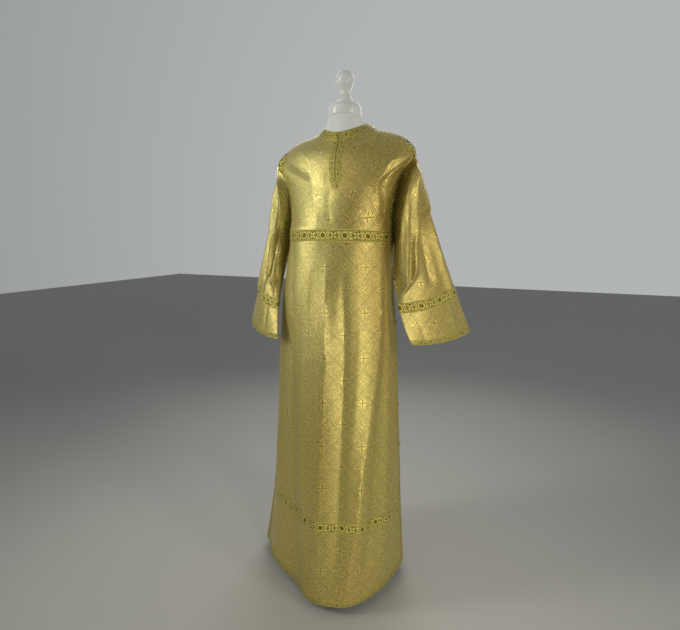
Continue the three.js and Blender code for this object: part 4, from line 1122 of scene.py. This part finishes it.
LAST_ROWS = SLEEVE_LENGTH + BAND_ROWS + CUFF_ROWS
RIBBON_ROWS = slice(SLEEVE_LENGTH, SLEEVE_LENGTH + BAND_ROWS + 1)
EDGING_ROWS = slice(LAST_ROWS, LAST_ROWS + TRIM_ROWS + 1)
for side, sleeve in SLEEVES.items():
    grid, from_cuff = sleeve_grid(side, sleeve)
    normal = grid_normals(grid, wrap=True)
    ring = grid[SLEEVE_LENGTH]
    around = run_of(np.concatenate([ring, ring[:1]]))
    across = np.repeat(around[None, :-1], grid.shape[0], axis=0)
    uv = np.stack([across - around[len(ring) // 2], from_cuff], axis=-1)
    shell(
        f"sleeve_cloth_{side}", grid, grid - normal * CLOTH, uv, BROCADE, "brocade", wrap=True
    )
    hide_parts(f"sleeve_{side}")
    for name, node, rows, width in (
        ("sleeve_ribbon", "sleeve_band", RIBBON_ROWS, GALLOON_WIDTH),
        ("cuff_edging", "cuff_trim", EDGING_ROWS, EDGING_WIDTH),
    ):
        trim(f"{name}_{side}", f"{node}_{side}", grid[rows], normal[rows], 1, width, wrap=True)


# ---------------------------------------------------------------- buttons and loops
def ring_quads(count, sides, start=0):
    """Faces between rings of points, the first of them at vertex number start."""
    faces = []
    for first in range(start, start + (count - 1) * sides, sides):
        for k in range(sides):
            a, b = first + k, first + (k + 1) % sides
            faces.append([a, b, b + sides, a + sides])
    return faces


def circle(sides, guide, other):
    """Directions round a circle, from guide towards other."""
    turns = 2 * pi * np.arange(sides)[:, None] / sides
    return np.cos(turns) * guide + np.sin(turns) * other


def revolved(rings, sides):
    """Faces between a first point, rings of points, and a last point."""
    last = 1 + rings * sides
    start = last - sides
    faces = [[0, 1 + (k + 1) % sides, 1 + k] for k in range(sides)]
    faces += ring_quads(rings, sides, 1)
    return faces + [[last, start + k, start + (k + 1) % sides] for k in range(sides)]


# A bead on a shank: radius, height above the button's centre.
BEAD_PROFILE = [
    (0, -4.0), (1.4, -4.0), (1.2, -3.4), (2.0, -3.0), (2.8, -2.3), (3.0, -1.5), (2.9, -0.7), (2.4, 0.2),
    (1.5, 0.9), (0.7, 1.2), (0, 1.3),
]


def spun(profile, sides, centre, axis, guide):
    """Vertices and faces of a closed turned piece, its first radius along guide."""
    ways = circle(sides, guide, np.cross(axis, guide))
    vertices = [centre + axis * profile[0][1]]
    for radius, height in profile[1:-1]:
        vertices += list(centre + axis * height + radius * ways)
    vertices.append(centre + axis * profile[-1][1])
    return vertices, revolved(len(profile) - 2, sides)


def ring_faces(count, sides):
    """Faces between rings of points, with a flat cap at each end."""
    last = (count - 1) * sides
    return ring_quads(count, sides) + [list(range(sides))[::-1], list(range(last, last + sides))]


def tube(line, radius, sides=8):
    """A closed round tube along a line of points."""
    tangent = unit(np.gradient(line, axis=0))
    guide = unit(np.cross(tangent[0], [0.3, 0.2, 1.0]))
    vertices = []
    for point, t in zip(line, tangent):
        guide = unit(guide - t * np.dot(guide, t))
        vertices += list(point + radius * circle(sides, guide, np.cross(t, guide)))
    return vertices, ring_faces(len(line), sides)


def at_height(col, z):
    heights = front["grid"][:, col, 2]
    i = int(np.argmax(heights < z))
    t = (heights[i - 1] - z) / (heights[i - 1] - heights[i])
    return (
        mix(front["grid"][i - 1, col], front["grid"][i, col], t),
        unit(mix(front["normal"][i - 1, col], front["normal"][i, col], t)),
    )


def add_button(name, near, far):
    (p, n), (q, m) = near, far
    seat = mix(p, q, BUTTON_PLACE)
    out = unit(mix(n, m, BUTTON_PLACE))
    centre = seat + out * (PROUD + GALLOON + PROUD + BUTTON)
    bead = spun(BEAD_PROFILE, 20, centre, out, unit(np.cross(out, [0.0, 0.0, 1.0])))
    piece = make_object(name, *bead, None, BUTTON_DARK, "button")
    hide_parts(name)
    return seat, out, centre, unit(p - q)


def add_loop(name, seat, out, centre, back_way, reach):
    """A cord loop from beyond the seam round the button."""
    up = unit(np.cross(out, back_way))
    base = seat + out * (PROUD + GALLOON + 1.0)
    first, second = (
        [
            base + back_way * (reach * share) + up * side * beside + out * lift
            for share, beside, lift in LOOP_ARM
        ]
        for side in (-1, 1)
    )
    around = [
        base + LOOP_ROUND * (sin(t) * up - cos(t) * back_way) + out * LOOP_LIFT
        for t in np.linspace(-pi / 2, pi / 2, 9)[1:-1]
    ]
    line = np.array(first + around + second[::-1])
    line = relaxed(along(line, np.linspace(0, run_of(line)[-1], LOOP_STEPS)), 3)
    make_object(name, *tube(line, LOOP_CORD), None, BUTTON_DARK, "button")


last = front["cols"] - 1
for number, z in enumerate(SIDE_BUTTONS, 1):
    for side, edge, inner in (("right", 0, EDGING_COL), ("left", last, last - EDGING_COL)):
        button = add_button(f"side_button_{side}_{number}", at_height(edge, z), at_height(inner, z))
        add_loop(f"side_loop_{side}_{number}", *button, 15)
mid_collar = LINE["collarEdge"] // 2
collar_places = [
    (front["grid"][mid_collar, col], front["normal"][mid_collar, col])
    for col in (SLIT, SLIT - STRIP_STEPS)
]
button = add_button("neck_button", *collar_places)
add_loop("neck_loop", *button, 16)


# ---------------------------------------------------------------- dress form
def robe_ring(knot):
    """A closed row of the robe, from the west point over the front and back over the back."""
    halves = []
    for face in ("front", "back"):
        west, east = half_row(knot, "west", face), half_row(knot, "east", face)
        line = np.concatenate([west, east[::-1][1:]])
        halves.append(along(line, np.linspace(0, run_of(line)[-1], FORM_COLUMNS + 1)))
    return np.concatenate([halves[0], halves[1][::-1][1:-1]])


def oval_ring(z, wide, front_y, back_y):
    t = np.linspace(0, pi, FORM_COLUMNS + 1)
    first, second = (
        np.stack([-wide * np.cos(t), depth * np.sin(t), 0 * t + z], axis=1)
        for depth in (front_y, back_y)
    )
    return np.concatenate([first, second[::-1][1:-1]])


def filled(rings, count):
    """Rings with count - 1 more between each two of them."""
    stack = [rings[0]]
    for first, second in zip(rings, rings[1:]):
        stack += [mix(first, second, k / count) for k in range(1, count)] + [second]
    return stack


shoulder_knots = np.linspace(0, KNOT["underarm"], SHOULDER_RINGS)
rings = np.stack([robe_ring(knot) for knot in shoulder_knots])
normal = grid_normals(rings, wrap=True)
down = smooth((shoulder_knots - KNOT["shoulderTip"]) / (KNOT["armholeMid"] - KNOT["shoulderTip"]))
air = CLOTH + mix(FORM_AIR_TOP, FORM_AIR_CHEST, down)
inside = rings - normal * air[:, None, None]
neck = [oval_ring(*row) for row in NECK_RINGS] + [inside[0]]
trunk = [inside[-1]] + [oval_ring(*row) for row in TRUNK_RINGS]
stack = filled(neck, NECK_STEPS)[:-1] + list(inside) + filled(trunk, TRUNK_STEPS)[1:]
stack = relaxed(np.stack(stack), 4)
faces = [face[:1] + face[:0:-1] for face in ring_faces(*stack.shape[:2])]  # the rings run downwards
torso = make_object("form_body", stack.reshape(-1, 3), faces, None, JERSEY, "jersey")
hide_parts("form_torso")


east, _, up = np.eye(3)
for name, node, profile in (
    ("neck_cap", "form_cap", CAP_PROFILE),
    ("top_knob", "form_knob", KNOB_PROFILE),
):
    piece = make_object(name, *spun(profile, 64, np.zeros(3), up, east), None, PAINT, "painted_wood")
    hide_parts(node)
for node in ("form_pole", "form_base"):
    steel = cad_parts[node]
    steel.data.materials.clear()
    steel.data.materials.append(STEEL_PAINT)

# ---------------------------------------------------------------- stage, light and camera
FLOOR_SIZE = 9.0
WORLD_AHEAD = 0.46  # light from behind the robe, and from behind the camera
WORLD_BEHIND = 0.06
WIDE_BEAM = 120
NARROW_BEAM = 100
# name, place, height it aims at, width and height, power, colour, beam
LAMPS = [
    ("key", (-1.05, -1.3, 2.45), 1.3, (2.0, 1.3), 4.2, (0.98, 1.0, 0.90), WIDE_BEAM),
    ("left_strip", (-1.9, -1.35, 1.7), 1.05, (0.5, 1.3), 7.2, (1.0, 0.97, 0.84), NARROW_BEAM),
    ("right_low", (1.6, -1.55, 0.6), 0.35, (0.35, 0.9), 6, (1.0, 0.93, 0.76), NARROW_BEAM),
    ("back", (-0.7, 2.3, 2.1), 1.0, (2.0, 1.5), 12, (1.0, 0.98, 0.93), WIDE_BEAM),
    ("right_high", (2.2, -0.7, 1.7), 1.1, (0.4, 0.9), 4.5, (1.0, 0.93, 0.76), NARROW_BEAM),
]
mesh = bpy.data.meshes.new("floor")
corners = [(-1, -1), (1, -1), (1, 1), (-1, 1)]
mesh.from_pydata([(x * FLOOR_SIZE, y * FLOOR_SIZE, 0) for x, y in corners], [], [[0, 1, 2, 3]])
floor = bpy.data.objects.new("floor", mesh)
bpy.context.scene.collection.objects.link(floor)
stage_paint = Material("stage", metallic=0, roughness=0.7)
mesh.materials.append(stage_paint.finish(stage_paint.colour((0.46, 0.46, 0.45))))

world = bpy.data.worlds.new("studio")
bpy.context.scene.world = world
world.use_nodes = True
sky = world.node_tree
direction = sky.nodes.new("ShaderNodeTexCoord")
parts = sky.nodes.new("ShaderNodeSeparateXYZ")
sky.links.new(direction.outputs["Generated"], parts.inputs[0])
ahead = Value(sky, parts.outputs[1]).scaled(-0.5, 0.9, WORLD_BEHIND, WORLD_AHEAD)
sky.nodes["Background"].inputs[0].default_value = (0.97, 1.0, 1.0, 1)
sky.links.new(ahead.socket, sky.nodes["Background"].inputs[1])


def area_light(name, place, aim_height, size, power, colour, beam):
    data = bpy.data.lights.new(name, "AREA")
    data.spread = radians(beam)
    data.shape = "RECTANGLE"
    data.size, data.size_y = size
    data.energy = power
    data.color = colour
    lamp = bpy.data.objects.new(name, data)
    lamp.location = place
    aim = Vector((0, 0, aim_height)) - lamp.location
    lamp.rotation_euler = aim.to_track_quat("-Z", "Y").to_euler()
    bpy.context.scene.collection.objects.link(lamp)


for lamp in LAMPS:
    area_light(*lamp)

CAMERA_PLACE = (0.5956, -1.3746, 1.172)
CAMERA_PITCH = 10
CAMERA_AZIMUTH = 24
CAMERA_LENS = 25.04
camera_data = bpy.data.cameras.new("camera")
camera_data.lens = CAMERA_LENS
camera_data.sensor_width = 36
camera = bpy.data.objects.new("camera", camera_data)
camera.location = Vector(CAMERA_PLACE) + Vector(ORIGIN)
camera.rotation_euler = (radians(90 - CAMERA_PITCH), 0, radians(CAMERA_AZIMUTH))
bpy.context.scene.collection.objects.link(camera)
bpy.context.scene.camera = camera
bpy.context.scene.view_settings.view_transform = "Standard"

bpy.context.view_layer.update()
